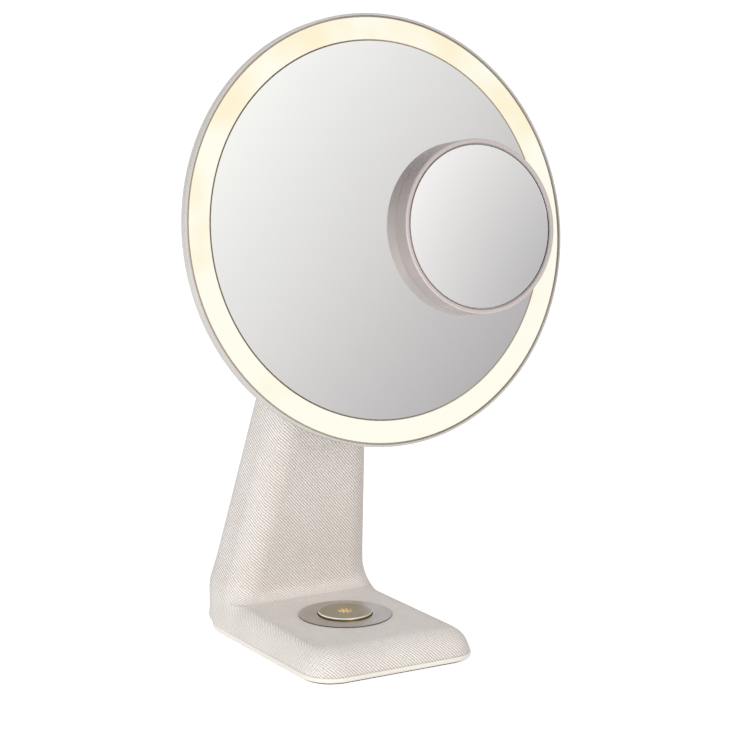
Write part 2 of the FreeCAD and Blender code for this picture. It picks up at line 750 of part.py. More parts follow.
def spine_screw_places():
    x = SPINE_FOOT[0] / 2 - SPINE_SCREW_INSET
    y = SPINE_FOOT[1] / 2 - SPINE_SCREW_INSET
    return [(a * x, spine_foot_y() + b * y) for a in (-1, 1) for b in (-1, 1)]


def column_spine():
    width, depth, thickness = SPINE_FOOT
    y = spine_foot_y()
    foot = block(-width / 2, width / 2, y - depth / 2, y + depth / 2, BALLAST_TOP, BALLAST_TOP + thickness)
    half = SPINE_THICKNESS / 2 / math.cos(math.radians(COLUMN_LEAN))
    low = BALLAST_TOP + thickness / 2
    ends = [(column_middle(low) - half, low), (column_middle(low) + half, low)]
    ends += [(column_middle(SPINE_TOP) + half, SPINE_TOP), (column_middle(SPINE_TOP) - half, SPINE_TOP)]
    points = [Vector(-SPINE_WIDTH / 2, a, b) for a, b in ends]
    bar = Part.Face(Part.makePolygon(points + points[:1])).extrude(Vector(SPINE_WIDTH, 0, 0))
    spine = foot.fuse(bar)
    for a, b in spine_screw_places():
        spine = spine.cut(disc(FRAME_SCREW[0] + CLEAR, BALLAST_TOP, BALLAST_TOP + thickness, a, b))
    tip = WEB_TOP - WEB_SCREW_LENGTH - CLEAR
    for a, b in yoke_screw_places():
        spine = spine.cut(disc(BODY_SCREW[0] + PRESS_GAP, tip, SPINE_TOP, a, b))
    return spine.removeSplitter()


def spine_screws():
    top = BALLAST_TOP + SPINE_FOOT[2]
    screw = pan_screw(FRAME_SCREW, SPINE_FOOT[2] + BALLAST_THICKNESS - CLEAR)
    return group([moved(screw, x, y, top) for x, y in spine_screw_places()])


def yoke_screw_places():
    return [(side * WEB_SCREW_X, column_middle(SPINE_TOP)) for side in (-1, 1)]


def along_x(radius, x0, x1):
    """A round bar on the hinge axis."""
    return Part.makeCylinder(radius, x1 - x0, Vector(x0, PIVOT_Y, PIVOT_Z), Vector(1, 0, 0))


def bar_between(a, b, half, x0, x1):
    """A flat bar seen along X, from one (y, z) point to another, with a round at its end."""
    d = unit(a, b)
    p = (d[1] * half, -d[0] * half)
    ends = [(a[0] - p[0], a[1] - p[1]), (a[0] + p[0], a[1] + p[1])]
    ends += [(b[0] + p[0], b[1] + p[1]), (b[0] - p[0], b[1] - p[1])]
    points = [Vector(x0, y, z) for y, z in ends]
    bar = Part.Face(Part.makePolygon(points + points[:1])).extrude(Vector(x1 - x0, 0, 0))
    end = Part.makeCylinder(half, x1 - x0, Vector(x0, b[0], b[1]), Vector(1, 0, 0))
    return bar.fuse(end)


def yoke_arm(side, grow):
    """One arm of the yoke, up from its web and forward to the hinge, or the slot that clears it."""
    y = column_middle(SPINE_TOP) - ARM_SETBACK
    knee = (y, CAP_TOP + KNEE_OVER_CAP)
    x0, x1 = sorted((side * (EAR_INNER - grow), side * (EAR_OUTER + grow)))
    half = ARM_HALF_WIDTH + grow
    arm = bar_between((y, SPINE_TOP), knee, half, x0, x1)
    arm = arm.fuse(bar_between(knee, (PIVOT_Y, PIVOT_Z), half, x0, x1))
    return arm.fuse(along_x(EAR_RADIUS + grow, x0, x1)).removeSplitter()


def hinge_yoke():
    y = column_middle(SPINE_TOP)
    web = block(-EAR_OUTER, EAR_OUTER, y - WEB_FRONT, y + WEB_BACK, SPINE_TOP, WEB_TOP)
    yoke = web
    for side in (-1, 1):
        yoke = yoke.fuse(yoke_arm(side, 0))
    for a, b in yoke_screw_places():
        yoke = yoke.cut(disc(BODY_SCREW[0] + CLEAR, SPINE_TOP, WEB_TOP, a, b))
    return yoke.cut(along_x(PIN_RADIUS + PRESS_GAP, -EAR_OUTER, EAR_OUTER)).removeSplitter()


def yoke_screws():
    screw = pan_screw(BODY_SCREW, WEB_SCREW_LENGTH)
    return group([moved(screw, x, y, WEB_TOP) for x, y in yoke_screw_places()])


def hinge_pin():
    end = -EAR_OUTER - SPRING_WASHER - PIN_NUT[1] - 2 * FACE_GAP
    bar = along_x(PIN_RADIUS, end, EAR_OUTER)
    return bar.fuse(along_x(PIN_HEAD_RADIUS, EAR_OUTER, EAR_OUTER + PIN_HEAD)).removeSplitter()


def friction_washers():
    inner = TONGUE_HALF + FACE_GAP
    outer = inner + WASHER_THICKNESS
    washers = []
    for x0, x1 in ((inner, outer), (-outer, -inner)):
        bore = along_x(PIN_RADIUS + PRESS_GAP, x0, x1)
        washers.append(along_x(WASHER_RADIUS, x0, x1).cut(bore))
    return group(washers)


def spring_washer():
    x1 = -EAR_OUTER - FACE_GAP
    x0 = x1 - SPRING_WASHER
    return along_x(PIN_HEAD_RADIUS, x0, x1).cut(along_x(PIN_RADIUS + PRESS_GAP, x0, x1))


def pin_nut():
    across, height = PIN_NUT
    nut = hexagon(across, 0, height).cut(disc(PIN_RADIUS + PRESS_GAP, 0, height))
    x = -EAR_OUTER - SPRING_WASHER - 2 * FACE_GAP
    nut.Placement = Placement(Vector(x, PIVOT_Y, PIVOT_Z), Rotation(Vector(0, 1, 0), -90))
    return nut


# Lead up the column

def plug_place():
    """Middle of the plug's lower face, on the side of the spine."""
    z = SPINE_TOP - PLUG_BELOW_YOKE - LEAD_PLUG[2]
    return SPINE_WIDTH / 2 + LEAD_PLUG[0] / 2, column_middle(z + LEAD_PLUG[2] / 2), z


def lead_plug():
    width, depth, height = LEAD_PLUG
    x, y, z = plug_place()
    return block(x - width / 2, x + width / 2, y - depth / 2, y + depth / 2, z, z + height)


def column_lead():
    """From the board's rear edge back along the foot, then up beside the spine to the plug."""
    x, y, z = plug_place()
    low = BOARD_TOP + LEAD_RADIUS + FACE_GAP
    start = Vector(x, PLATE_Y + BOARD_DEPTH / 2 - 2 * LEAD_RADIUS, low)
    corner = Vector(x, column_middle(low), low)
    end = Vector(x, y, z)
    run = (end - corner).normalize()
    back = Vector(0, 1, 0)
    half_turn = run.getAngle(back) / 2
    reach = LEAD_BEND * math.tan(half_turn)
    enter = corner - back * reach
    leave = corner + run * reach
    inward = (run - back).normalize()
    middle = corner + inward * (LEAD_BEND / math.cos(half_turn) - LEAD_BEND)
    path = Part.Wire([Part.makeLine(start, enter), Part.Arc(enter, middle, leave).toShape(),
                      Part.makeLine(leave, end)])
    section = Part.Wire([Part.makeCircle(LEAD_RADIUS, start, back)])
    tube = path.makePipeShell([section], True, False)
    return tube.cut(between(z, CAP_TOP))


# Control plate and button

def soft_rim(solid, radius, top, size):
    """A turned piece with the outer edge of its top rounded."""
    circles = [edge for edge in solid.Edges if isinstance(edge.Curve, Part.Circle)]
    rim = [edge for edge in circles
           if abs(edge.Curve.Radius - radius) < size / 2 and abs(edge.Curve.Center.z - top) < size / 2]
    return solid.makeFillet(size, rim)


def button_plate():
    plate = turned([(PLATE_HOLE, PAD_TOP), (PLATE_RADIUS, PAD_TOP), (PLATE_RADIUS, PLATE_TOP),
                    (PLATE_HOLE, PLATE_TOP)])
    plate = soft_rim(plate, PLATE_RADIUS, PLATE_TOP, PLATE_EDGE)
    plate = plate.fuse(ring(COLLAR_RADIUS - COLLAR_WALL, COLLAR_RADIUS, CEILING, PAD_TOP))
    for x, y in around(STUD_COUNT, STUD_CIRCLE, 0, 0, 90):
        plate = plate.fuse(disc(STUD_RADIUS, CEILING - HOUSING_FLANGE - NUT_HEIGHT, PAD_TOP, x, y))
    return moved(plate.removeSplitter(), 0, PLATE_Y)


def plate_nuts():
    top = CEILING - HOUSING_FLANGE
    bore = disc(STUD_RADIUS + PRESS_GAP, top - NUT_HEIGHT, top)
    nut = hexagon(NUT_ACROSS, top - NUT_HEIGHT, top).cut(bore)
    return group([moved(nut, x, y) for x, y in around(STUD_COUNT, STUD_CIRCLE, 0, PLATE_Y, 90)])


def button_housing():
    cup = disc(HOUSING_OUTER, HOUSING_UNDER, PAD_TOP)
    cup = cup.fuse(disc(FLANGE_OUTER, CEILING - HOUSING_FLANGE, CEILING))
    cup = cup.cut(disc(HOUSING_INNER, HOUSING_FLOOR_TOP, PAD_TOP))
    hole = SWITCH_SIZE / math.sqrt(2) + CLEAR
    cup = cup.cut(disc(hole, HOUSING_UNDER, HOUSING_FLOOR_TOP))
    for x, y in around(STUD_COUNT, STUD_CIRCLE, 0, 0, 90):
        cup = cup.cut(disc(STUD_RADIUS + CLEAR, CEILING - HOUSING_FLANGE, CEILING, x, y))
    return moved(cup.removeSplitter(), 0, PLATE_Y)


def tact_switch():
    half = SWITCH_SIZE / 2
    body = block(-half, half, PLATE_Y - half, PLATE_Y + half, BOARD_TOP, SWITCH_TOP)
    depth = PLUNGER_DEPTH + BUTTON_TRAVEL + CLEAR
    return body.cut(disc(PLUNGER_RADIUS + 2 * FACE_GAP, SWITCH_TOP - depth, SWITCH_TOP, 0, PLATE_Y))


def switch_plunger():
    return disc(PLUNGER_RADIUS, SWITCH_TOP - PLUNGER_DEPTH, PLUNGER_TOP, 0, PLATE_Y)


def button_carrier():
    body = disc(HOUSING_INNER - CLEAR, LIP_UNDER, LIP_TOP)
    body = body.fuse(disc(BUTTON_RADIUS - BUTTON_SKIRT - PRESS_GAP, LIP_TOP, CARRIER_TOP))
    body = body.fuse(disc(STEM_RADIUS, PLUNGER_TOP, LIP_UNDER))
    return moved(body.removeSplitter(), 0, PLATE_Y)


def sun(grow, low, high):
    """A disc and rays, as the solid light window or, grown, as the holes for it."""
    shapes = [disc(SUN_RADIUS + grow, low, high)]
    half = RAY_WIDTH / 2 + grow
    for k in range(RAY_COUNT):
        ray = block(RAY_START - grow, RAY_END + grow, -half, half, low, high)
        ray.rotate(Vector(0, 0, 0), Vector(0, 0, 1), 360.0 * k / RAY_COUNT)
        shapes.append(ray)
    return shapes


def button_icon():
    icon = disc(ICON_BASE_RADIUS, CARRIER_TOP, ICON_TOP)
    for shape in sun(0, ICON_TOP, BUTTON_TOP_Z):
        icon = icon.fuse(shape)
    return moved(icon.removeSplitter(), 0, PLATE_Y)


def button_cap():
    inner = BUTTON_RADIUS - BUTTON_SKIRT
    cap = turned([(0, ICON_TOP), (inner, ICON_TOP), (inner, LIP_TOP), (BUTTON_RADIUS, LIP_TOP),
                  (BUTTON_RADIUS, BUTTON_TOP_Z), (0, BUTTON_TOP_Z)])
    cap = soft_rim(cap, BUTTON_RADIUS, BUTTON_TOP_Z, BUTTON_EDGE)
    for shape in sun(PRESS_GAP, ICON_TOP, BUTTON_TOP_Z):
        cap = cap.cut(shape)
    return moved(cap, 0, PLATE_Y)


def return_spring():
    """One open coil between the housing's floor and the carrier."""
    rise = SPRING_LENGTH - 2 * SPRING_WIRE - 4 * FACE_GAP
    path = Part.makeHelix(rise / SPRING_TURNS, rise, SPRING_RADIUS)
    corners = around(SPRING_SIDES, SPRING_WIRE, SPRING_RADIUS, 0)
    section = Part.makePolygon([Vector(x, 0, z) for x, z in corners + corners[:1]])
    coil = Part.Wire(path.Edges).makePipeShell([section], True, True)
    return moved(coil, 0, PLATE_Y, HOUSING_FLOOR_TOP + SPRING_WIRE + 2 * FACE_GAP)


# Head, drawn about its own axis with the front plane at height 0

def on_head(shape):
    placed = shape.copy()
    turn = Placement(Vector(0, HEAD_Y, HEAD_Z), Rotation(Vector(1, 0, 0), 90 - HEAD_TILT))
    placed.Placement = turn.multiply(placed.Placement)
    return placed


def head_frame():
    inner = HEAD_RADIUS - FRAME_WALL
    ledge = inner - LEDGE_REACH
    under = -LEDGE_DEPTH - LEDGE_THICKNESS
    return turned([(inner, 0), (HEAD_RADIUS - FRAME_ROUND, 0), (HEAD_RADIUS, -FRAME_ROUND),
                   (HEAD_RADIUS, -FRAME_DEPTH), (inner, -FRAME_DEPTH), (inner, under), (ledge, under),
                   (ledge, -LEDGE_DEPTH), (inner, -LEDGE_DEPTH)])


def diffuser_ring():
    return ring(RING_INNER, RING_OUTER, -LEDGE_DEPTH, -FACE_RECESS)


def mirror_glass():
    return disc(MIRROR_RADIUS, MIRROR_BACK, -FACE_RECESS)


def mirror_tape():
    outer = MIRROR_RADIUS - TAPE_MARGIN
    return ring(outer - TAPE_WIDTH, outer, SHELF_Z, MIRROR_BACK)


def cover_screw_places():
    return around(COVER_SCREW_COUNT, HEAD_RADIUS - COVER_SCREW_INSET, first=0)


def mirror_carrier():
    """Plate behind the glass, with the light channel round it and posts for the cover's screws."""
    under = SHELF_Z - CARRIER_PLATE
    floor_under = CHANNEL_FLOOR - CARRIER_FLOOR
    body = turned([(0, SHELF_Z), (CARRIER_RIB, SHELF_Z), (CARRIER_RIB, -LEDGE_DEPTH),
                   (CHANNEL_INNER, -LEDGE_DEPTH), (CHANNEL_INNER, CHANNEL_FLOOR),
                   (CARRIER_OUTER, CHANNEL_FLOOR), (CARRIER_OUTER, floor_under),
                   (CARRIER_RIB, floor_under), (CARRIER_RIB, under), (0, under)])
    for x, y in cover_screw_places():
        post = ring(BODY_SCREW[0] + PRESS_GAP, COVER_POST_RADIUS, COVER_INNER_Z, under, x, y)
        body = body.fuse(post)
    recess = disc(KEEPER_RADIUS + CLEAR, SHELF_Z - KEEPER_THICKNESS, SHELF_Z, MAGNIFIER_X, MAGNIFIER_V)
    board_edge = LED_CIRCLE - LED_BOARD_WIDTH / 2
    notch = head_lead_bar(HEAD_LEAD_RADIUS + CLEAR, CARRIER_RIB - CARRIER_WALL, board_edge)
    return body.cut(recess).cut(notch).removeSplitter()


def keeper_disc():
    return disc(KEEPER_RADIUS, SHELF_Z - KEEPER_THICKNESS, SHELF_Z, MAGNIFIER_X, MAGNIFIER_V)


def led_board():
    half = LED_BOARD_WIDTH / 2
    top = CHANNEL_FLOOR + LED_BOARD_THICKNESS
    return ring(LED_CIRCLE - half, LED_CIRCLE + half, CHANNEL_FLOOR, top)


def led_chips():
    length, width, height = LED_SIZE
    low = CHANNEL_FLOOR + LED_BOARD_THICKNESS
    chip = block(LED_CIRCLE - width / 2, LED_CIRCLE + width / 2, -length / 2, length / 2, low, low + height)
    chips = []
    for k in range(LED_COUNT):
        copy = chip.copy()
        copy.rotate(Vector(0, 0, 0), Vector(0, 0, 1), 360.0 * (k + 0.5) / LED_COUNT)
        chips.append(copy)
    return group(chips)


def head_lead_bar(radius, start, end):
    z = SHELF_Z - CARRIER_PLATE - HEAD_LEAD_RADIUS - FACE_GAP
    return Part.makeCylinder(radius, end - start, Vector(0, start, z), Vector(0, 1, 0))


def head_lead():
    return head_lead_bar(HEAD_LEAD_RADIUS, HEAD_LEAD_START, LED_CIRCLE - LED_BOARD_WIDTH / 2 - CLEAR)


def rounded_dish(radius, depth, bend, top):
    """Half outline of a shallow dish: its rim at a height, its floor below it, a round between."""
    bend = min(bend, radius / 2)
    return Vector(radius, 0, top), Vector(radius - bend, 0, top - depth)


def back_cover():
    """A shallow dish that closes the back of the head, with a wide soft edge."""
    rim, floor = rounded_dish(HEAD_RADIUS, COVER_DEPTH, COVER_ROUND, -FRAME_DEPTH)
    inner_rim, inner_floor = rounded_dish(HEAD_RADIUS - FRAME_WALL, COVER_DEPTH - COVER_WALL,
                                          COVER_ROUND - FRAME_WALL / 2, -FRAME_DEPTH)
    outer_edge = quarter(rim, floor)
    inner_edge = quarter(inner_rim, inner_floor)
    middle = Vector(0, 0, floor.z)
    inner_middle = Vector(0, 0, inner_floor.z)
    edges = [Part.makeLine(middle, floor), outer_edge, Part.makeLine(rim, inner_rim), inner_edge,
             Part.makeLine(inner_floor, inner_middle), Part.makeLine(inner_middle, middle)]
    face = Part.Face(Part.Wire(Part.__sortEdges__(edges)))
    cover = face.revolve(Vector(0, 0, 0), Vector(0, 0, 1), 360)
    shank, head, height = BODY_SCREW
    for x, y in cover_screw_places():
        cover = cover.cut(disc(shank + CLEAR, floor.z, inner_floor.z, x, y))
        cover = cover.cut(disc(head + CLEAR, floor.z, floor.z + COVER_WALL / 2, x, y))
    for x, y in flange_screw_places():
        cover = cover.cut(disc(FRAME_SCREW[0] + CLEAR, floor.z, inner_floor.z, x, y))
    return cover


def quarter(rim, floor):
    """An arc from a floor to a rim that leaves the floor flat."""
    run = rim.x - floor.x
    rise = rim.z - floor.z
    radius = (run ** 2 + rise ** 2) / (2 * rise)
    turn = math.asin(min(1.0, run / radius)) / 2
    bow = Vector(floor.x + radius * math.sin(turn), 0, floor.z + radius * (1 - math.cos(turn)))
    return Part.Arc(floor, bow, rim).toShape()


def cover_screws():
    """Screws seated in counterbores in the cover, pointing forwards."""
    shank, head, height = BODY_SCREW
    seat = COVER_OUTER_Z + COVER_WALL / 2
    body = disc(shank, seat, SHELF_Z - CARRIER_PLATE - CLEAR)
    screw = body.fuse(disc(head, seat - height / 2, seat)).removeSplitter()
    return group([moved(screw, x, y) for x, y in cover_screw_places()])


def flange_screw_places():
    return around(FLANGE_SCREW_COUNT, FLANGE_SCREW_CIRCLE, first=45)


def bracket_backing():
    plate = disc(BACKING_RADIUS, COVER_INNER_Z, COVER_INNER_Z + BACKING_THICKNESS)
    for x, y in flange_screw_places():
        plate = plate.cut(disc(FRAME_SCREW[0] + PRESS_GAP, COVER_INNER_Z, 0, x, y))
    return plate


def head_bracket():
    """Round flange on the cover and the tongue that the hinge pin goes through."""
    seat = COVER_OUTER_Z - FLANGE_THICKNESS
    flange = disc(FLANGE_RADIUS, seat, COVER_OUTER_Z)
    half = TONGUE_RADIUS
    neck = block(-TONGUE_HALF, TONGUE_HALF, -half, half, -PIVOT_BACK, seat + FLANGE_THICKNESS / 2)
    axis = Vector(1, 0, 0)
    boss = Part.makeCylinder(half, 2 * TONGUE_HALF, Vector(-TONGUE_HALF, 0, -PIVOT_BACK), axis)
    bore_start = Vector(-TONGUE_HALF, 0, -PIVOT_BACK)
    bore = Part.makeCylinder(PIN_RADIUS + RUNNING_FIT, 2 * TONGUE_HALF, bore_start, axis)
    body = flange.fuse(neck).fuse(boss).cut(bore)
    for x, y in flange_screw_places():
        body = body.cut(disc(FRAME_SCREW[0] + CLEAR, seat, COVER_OUTER_Z, x, y))
    return body.removeSplitter()


def bracket_screws():
    seat = COVER_OUTER_Z - FLANGE_THICKNESS
    shank, head, height = FRAME_SCREW
    length = FLANGE_THICKNESS + COVER_WALL + BACKING_THICKNESS + CLEAR
    screw = disc(shank, seat, seat + length).fuse(disc(head, seat - height, seat)).removeSplitter()
    return group([moved(screw, x, y) for x, y in flange_screw_places()])


# Magnifier, drawn about its own axis with the mirror's surface at height 0

def on_mirror(shape):
    return on_head(moved(shape, MAGNIFIER_X, MAGNIFIER_V, -FACE_RECESS))


def magnifier_levels():
    """Heights of the housing's back, its front and the edge of its glass."""
    back = LIFT_GAP + PAD_THICKNESS
    front = LIFT_GAP + MAGNIFIER_DEPTH
    return back, front, front - LENS_RECESS


def lens_radius():
    return MAGNIFIER_RADIUS - MAGNIFIER_WALL - CLEAR


def lens_sag(radius):
    return LENS_CURVE - math.sqrt(LENS_CURVE ** 2 - radius ** 2)


def magnifier_pad():
    return disc(PAD_RADIUS, LIFT_GAP, LIFT_GAP + PAD_THICKNESS)


def magnifier_housing():
    back, front, glass = magnifier_levels()
    inner = MAGNIFIER_RADIUS - MAGNIFIER_WALL
    seat_inner = inner - LENS_SEAT
    seat = glass - LENS_THICKNESS - lens_sag(lens_radius()) + lens_sag(seat_inner) - FACE_GAP
    r = MAGNIFIER_RADIUS
    c = MAGNIFIER_ROUND
    bow = c * (1 - math.sqrt(0.5))
    return turned([(0, back), (r - c, back), (r, back + c), (r, front - c), (r - bow, front - bow),
                   (r - c, front), (inner + INNER_BEVEL, front), (inner, front - INNER_BEVEL), (inner, seat),
                   (seat_inner, seat), (seat_inner, back + MAGNIFIER_BACK), (0, back + MAGNIFIER_BACK)])


def magnifier_glass():
    """A mirror of even thickness, hollowed to a wide curve."""
    edge = magnifier_levels()[2]
    r = lens_radius()
    middle = edge - lens_sag(r)
    bow = middle + lens_sag(r / 2)
    t = LENS_THICKNESS
    front = Part.Arc(Vector(0, 0, middle), Vector(r / 2, 0, bow), Vector(r, 0, edge)).toShape()
    rear = Part.Arc(Vector(0, 0, middle - t), Vector(r / 2, 0, bow - t), Vector(r, 0, edge - t)).toShape()
    side = Part.makeLine(Vector(r, 0, edge), Vector(r, 0, edge - t))
    axis = Part.makeLine(Vector(0, 0, middle - t), Vector(0, 0, middle))
    face = Part.Face(Part.Wire(Part.__sortEdges__([front, side, rear, axis])))
    return face.revolve(Vector(0, 0, 0), Vector(0, 0, 1), 360)


def magnifier_magnets():
    low = magnifier_levels()[0] + MAGNIFIER_BACK
    places = around(MAGNET_COUNT, MAGNET_CIRCLE, first=90)
    return group([disc(MAGNET_RADIUS, low, low + MAGNET_THICKNESS, x, y) for x, y in places])


def stand_parts():
    form = stand_form(0)
    shell_form = stand_form(SHELL_INSET)
    inner_form = stand_form(INSIDE)
    shell = whole_shell(shell_form, inner_form)
    return {
        "foot_pad": foot_pad(), "base_tray": base_tray(), "tray_screws": tray_screws(),
        "ballast_plate": ballast_plate(), "battery_pack": battery_pack(),
        "control_board": control_board(), "board_spacers": board_spacers(),
        "board_screws": board_screws(), "tact_switch": tact_switch(),
        "charge_board": charge_board(), "usb_socket": usb_socket(), "port_bezel": port_bezel(),
        "front_shell": front_shell(shell), "rear_shell": rear_shell(shell),
        "fabric_cover": fabric_cover(form, shell_form), "column_cap": column_cap(form),
        "column_spine": column_spine(), "spine_screws": spine_screws(),
        "hinge_yoke": hinge_yoke(), "yoke_screws": yoke_screws(), "hinge_pin": hinge_pin(),
        "friction_washers": friction_washers(), "spring_washer": spring_washer(), "pin_nut": pin_nut(),
        "lead_plug": lead_plug(), "column_lead": column_lead(),
        "button_plate": button_plate(), "plate_nuts": plate_nuts(), "button_housing": button_housing(),
    }


def button_parts():
    return {
        "button_cap": button_cap(), "button_icon": button_icon(), "button_carrier": button_carrier(),
        "switch_plunger": switch_plunger(), "return_spring": return_spring(),
    }


def head_parts():
    parts = {
        "head_frame": head_frame(), "diffuser_ring": diffuser_ring(), "mirror_glass": mirror_glass(),
        "mirror_tape": mirror_tape(), "mirror_carrier": mirror_carrier(), "keeper_disc": keeper_disc(),
        "led_board": led_board(), "led_chips": led_chips(), "head_lead": head_lead(),
        "back_cover": back_cover(), "cover_screws": cover_screws(),
        "bracket_backing": bracket_backing(), "head_bracket": head_bracket(),
        "bracket_screws": bracket_screws(),
    }
    return {name: on_head(shape) for name, shape in parts.items()}


def magnifier_parts():
    parts = {
        "magnifier_housing": magnifier_housing(), "magnifier_glass": magnifier_glass(),
        "magnifier_magnets": magnifier_magnets(), "magnifier_pad": magnifier_pad(),
    }
    return {name: on_mirror(shape) for name, shape in parts.items()}


def main():
    os.makedirs("parts", exist_ok=True)
    parts = {**stand_parts(), **button_parts(), **head_parts(), **magnifier_parts()}
    for name, shape in parts.items():
        shape.exportStep("parts/" + name + ".step")
        print(name, len(shape.Solids), "valid" if shape.isValid() else "NOT VALID", round(shape.Volume, 1))


main()
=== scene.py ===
# %% [markdown]
# Lighted table mirror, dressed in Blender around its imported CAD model.
# The CAD solids give every size and joint. This lesson gives them their looks: cloth, moulded plastic,
# metal, silvered glass and light. Everything is in metres, in the same frame as the solids.

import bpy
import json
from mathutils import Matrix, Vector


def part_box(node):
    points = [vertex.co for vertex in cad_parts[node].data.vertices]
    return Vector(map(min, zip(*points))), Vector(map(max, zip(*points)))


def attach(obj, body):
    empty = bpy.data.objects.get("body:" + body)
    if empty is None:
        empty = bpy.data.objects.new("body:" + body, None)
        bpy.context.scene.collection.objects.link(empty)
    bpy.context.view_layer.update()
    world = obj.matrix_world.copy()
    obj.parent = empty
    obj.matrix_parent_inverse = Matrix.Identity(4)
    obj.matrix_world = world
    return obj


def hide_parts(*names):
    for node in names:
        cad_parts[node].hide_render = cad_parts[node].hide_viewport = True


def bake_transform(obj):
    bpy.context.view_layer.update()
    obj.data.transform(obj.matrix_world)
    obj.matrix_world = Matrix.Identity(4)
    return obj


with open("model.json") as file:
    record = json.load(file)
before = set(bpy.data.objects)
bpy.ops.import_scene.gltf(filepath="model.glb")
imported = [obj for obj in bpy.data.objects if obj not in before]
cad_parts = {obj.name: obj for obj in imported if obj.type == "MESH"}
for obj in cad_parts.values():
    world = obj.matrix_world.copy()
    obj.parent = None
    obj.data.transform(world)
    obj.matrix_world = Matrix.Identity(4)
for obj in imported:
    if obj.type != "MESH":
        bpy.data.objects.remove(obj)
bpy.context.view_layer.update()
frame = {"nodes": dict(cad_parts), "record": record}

import json
import math

import bmesh
import bpy
import numpy as np
from mathutils import Matrix, Vector
from mathutils.bvhtree import BVHTree

nodes = frame["nodes"]
scene = bpy.context.scene
scene.view_settings.view_transform = "Standard"

# %% [markdown]
# The camera comes first, because every later choice is judged through it.
# The photograph was taken with a long lens from the left of the mirror, a little above it. The angles and
# the distance were found by fitting the outlines of the ring, the control plate and the foot.
# The camera's matrix is built from its three axes, so no aiming helper is needed.

# %% Camera
AZIMUTH = math.radians(-30.53)
ELEVATION = math.radians(10.75)
CAMERA_PLACE = (-0.70060, -1.22893, 0.43693)
SENSOR_WIDTH = 36
FOCAL_PIXELS = 2400
IMAGE_PIXELS = 740
back = Vector((math.sin(AZIMUTH) * math.cos(ELEVATION), -math.cos(AZIMUTH) * math.cos(ELEVATION),
               math.sin(ELEVATION)))
right = Vector((math.cos(AZIMUTH), math.sin(AZIMUTH), 0))
up = back.cross(right)

lens = bpy.data.cameras.new("camera")
lens.sensor_width = SENSOR_WIDTH
lens.lens = SENSOR_WIDTH * FOCAL_PIXELS / IMAGE_PIXELS
camera = bpy.data.objects.new("camera", lens)
axes = Matrix((right, up, back)).transposed().to_4x4()
camera.matrix_world = Matrix.Translation(CAMERA_PLACE) @ axes
scene.collection.objects.link(camera)
scene.camera = camera
print("camera lens, mm:", round(lens.lens, 1))

# %% [markdown]
# A finish is a small network of nodes. These helpers keep the networks short to write: one adds a node,
# one adds a calculation, one starts a reusable group and one starts a material.
# A number given to a helper is set on the socket, and a socket given to it is wired in.

# %% Helpers for node networks
def add(tree, kind, **settings):
    node = tree.nodes.new(kind)
    for name, value in settings.items():
        setattr(node, name, value)
    return node


def feed(tree, socket, value):
    if isinstance(value, bpy.types.NodeSocket):
        tree.links.new(value, socket)
    else:
        socket.default_value = value


def calc(tree, operation, *values):
    node = add(tree, "ShaderNodeMath", operation=operation)
    for socket, value in zip(node.inputs, values):
        feed(tree, socket, value)
    return node.outputs[0]


def vector_calc(tree, operation, *vectors):
    """A calculation with vectors; a dot product or a length comes out as a number."""
    node = add(tree, "ShaderNodeVectorMath", operation=operation)
    for socket, vector in zip(node.inputs, vectors):
        feed(tree, socket, vector)
    return node.outputs["Value" if operation in ("DOT_PRODUCT", "LENGTH") else "Vector"]


def ramp(tree, value, low, high, to_low=0.0, to_high=1.0, shape="SMOOTHSTEP"):
    node = add(tree, "ShaderNodeMapRange", interpolation_type=shape)
    for socket, number in zip(node.inputs, (value, low, high, to_low, to_high)):
        feed(tree, socket, number)
    return node.outputs[0]


def blend_colour(tree, factor, a, b, way="MIX"):
    node = add(tree, "ShaderNodeMix", data_type="RGBA", blend_type=way)
    for index, value in ((0, factor), (6, a), (7, b)):
        feed(tree, node.inputs[index], value)
    return node.outputs[2]


def noise(tree, vector, scale, detail=3.0, rough=0.55):
    node = add(tree, "ShaderNodeTexNoise")
    feed(tree, node.inputs["Vector"], vector)
    feed(tree, node.inputs["Scale"], scale)
    node.inputs["Detail"].default_value = detail
    node.inputs["Roughness"].default_value = rough
    return node.outputs[0]


def place_of(tree):
    return add(tree, "ShaderNodeTexCoord").outputs["Object"]


def facing_of(tree):
    return add(tree, "ShaderNodeTexCoord").outputs["Normal"]


def stored(tree, name):
    return add(tree, "ShaderNodeAttribute", attribute_name=name).outputs["Vector"]


def split(tree, vector):
    node = add(tree, "ShaderNodeSeparateXYZ")
    tree.links.new(vector, node.inputs[0])
    return list(node.outputs)


def pair(tree, x, y):
    node = add(tree, "ShaderNodeCombineXYZ")
    feed(tree, node.inputs[0], x)
    feed(tree, node.inputs[1], y)
    return node.outputs[0]


def bump(tree, height, distance, strength=1.0):
    node = add(tree, "ShaderNodeBump")
    node.inputs["Strength"].default_value = strength
    node.inputs["Distance"].default_value = distance
    feed(tree, node.inputs["Height"], height)
    return node.outputs[0]


print("helpers ready")

# %% Helpers for groups and materials
def start_group(name, inputs, outputs):
    tree = bpy.data.node_groups.new(name, "ShaderNodeTree")
    for label, kind, value in inputs:
        socket = tree.interface.new_socket(name=label, in_out="INPUT", socket_type=kind)
        if value is not None:
            socket.default_value = value
    for label, kind in outputs:
        tree.interface.new_socket(name=label, in_out="OUTPUT", socket_type=kind)
    return tree, add(tree, "NodeGroupInput").outputs, add(tree, "NodeGroupOutput").inputs


def use_group(tree, group, **values):
    node = add(tree, "ShaderNodeGroup", node_tree=group)
    for label, value in values.items():
        feed(tree, node.inputs[label.replace("_", " ")], value)
    return node.outputs


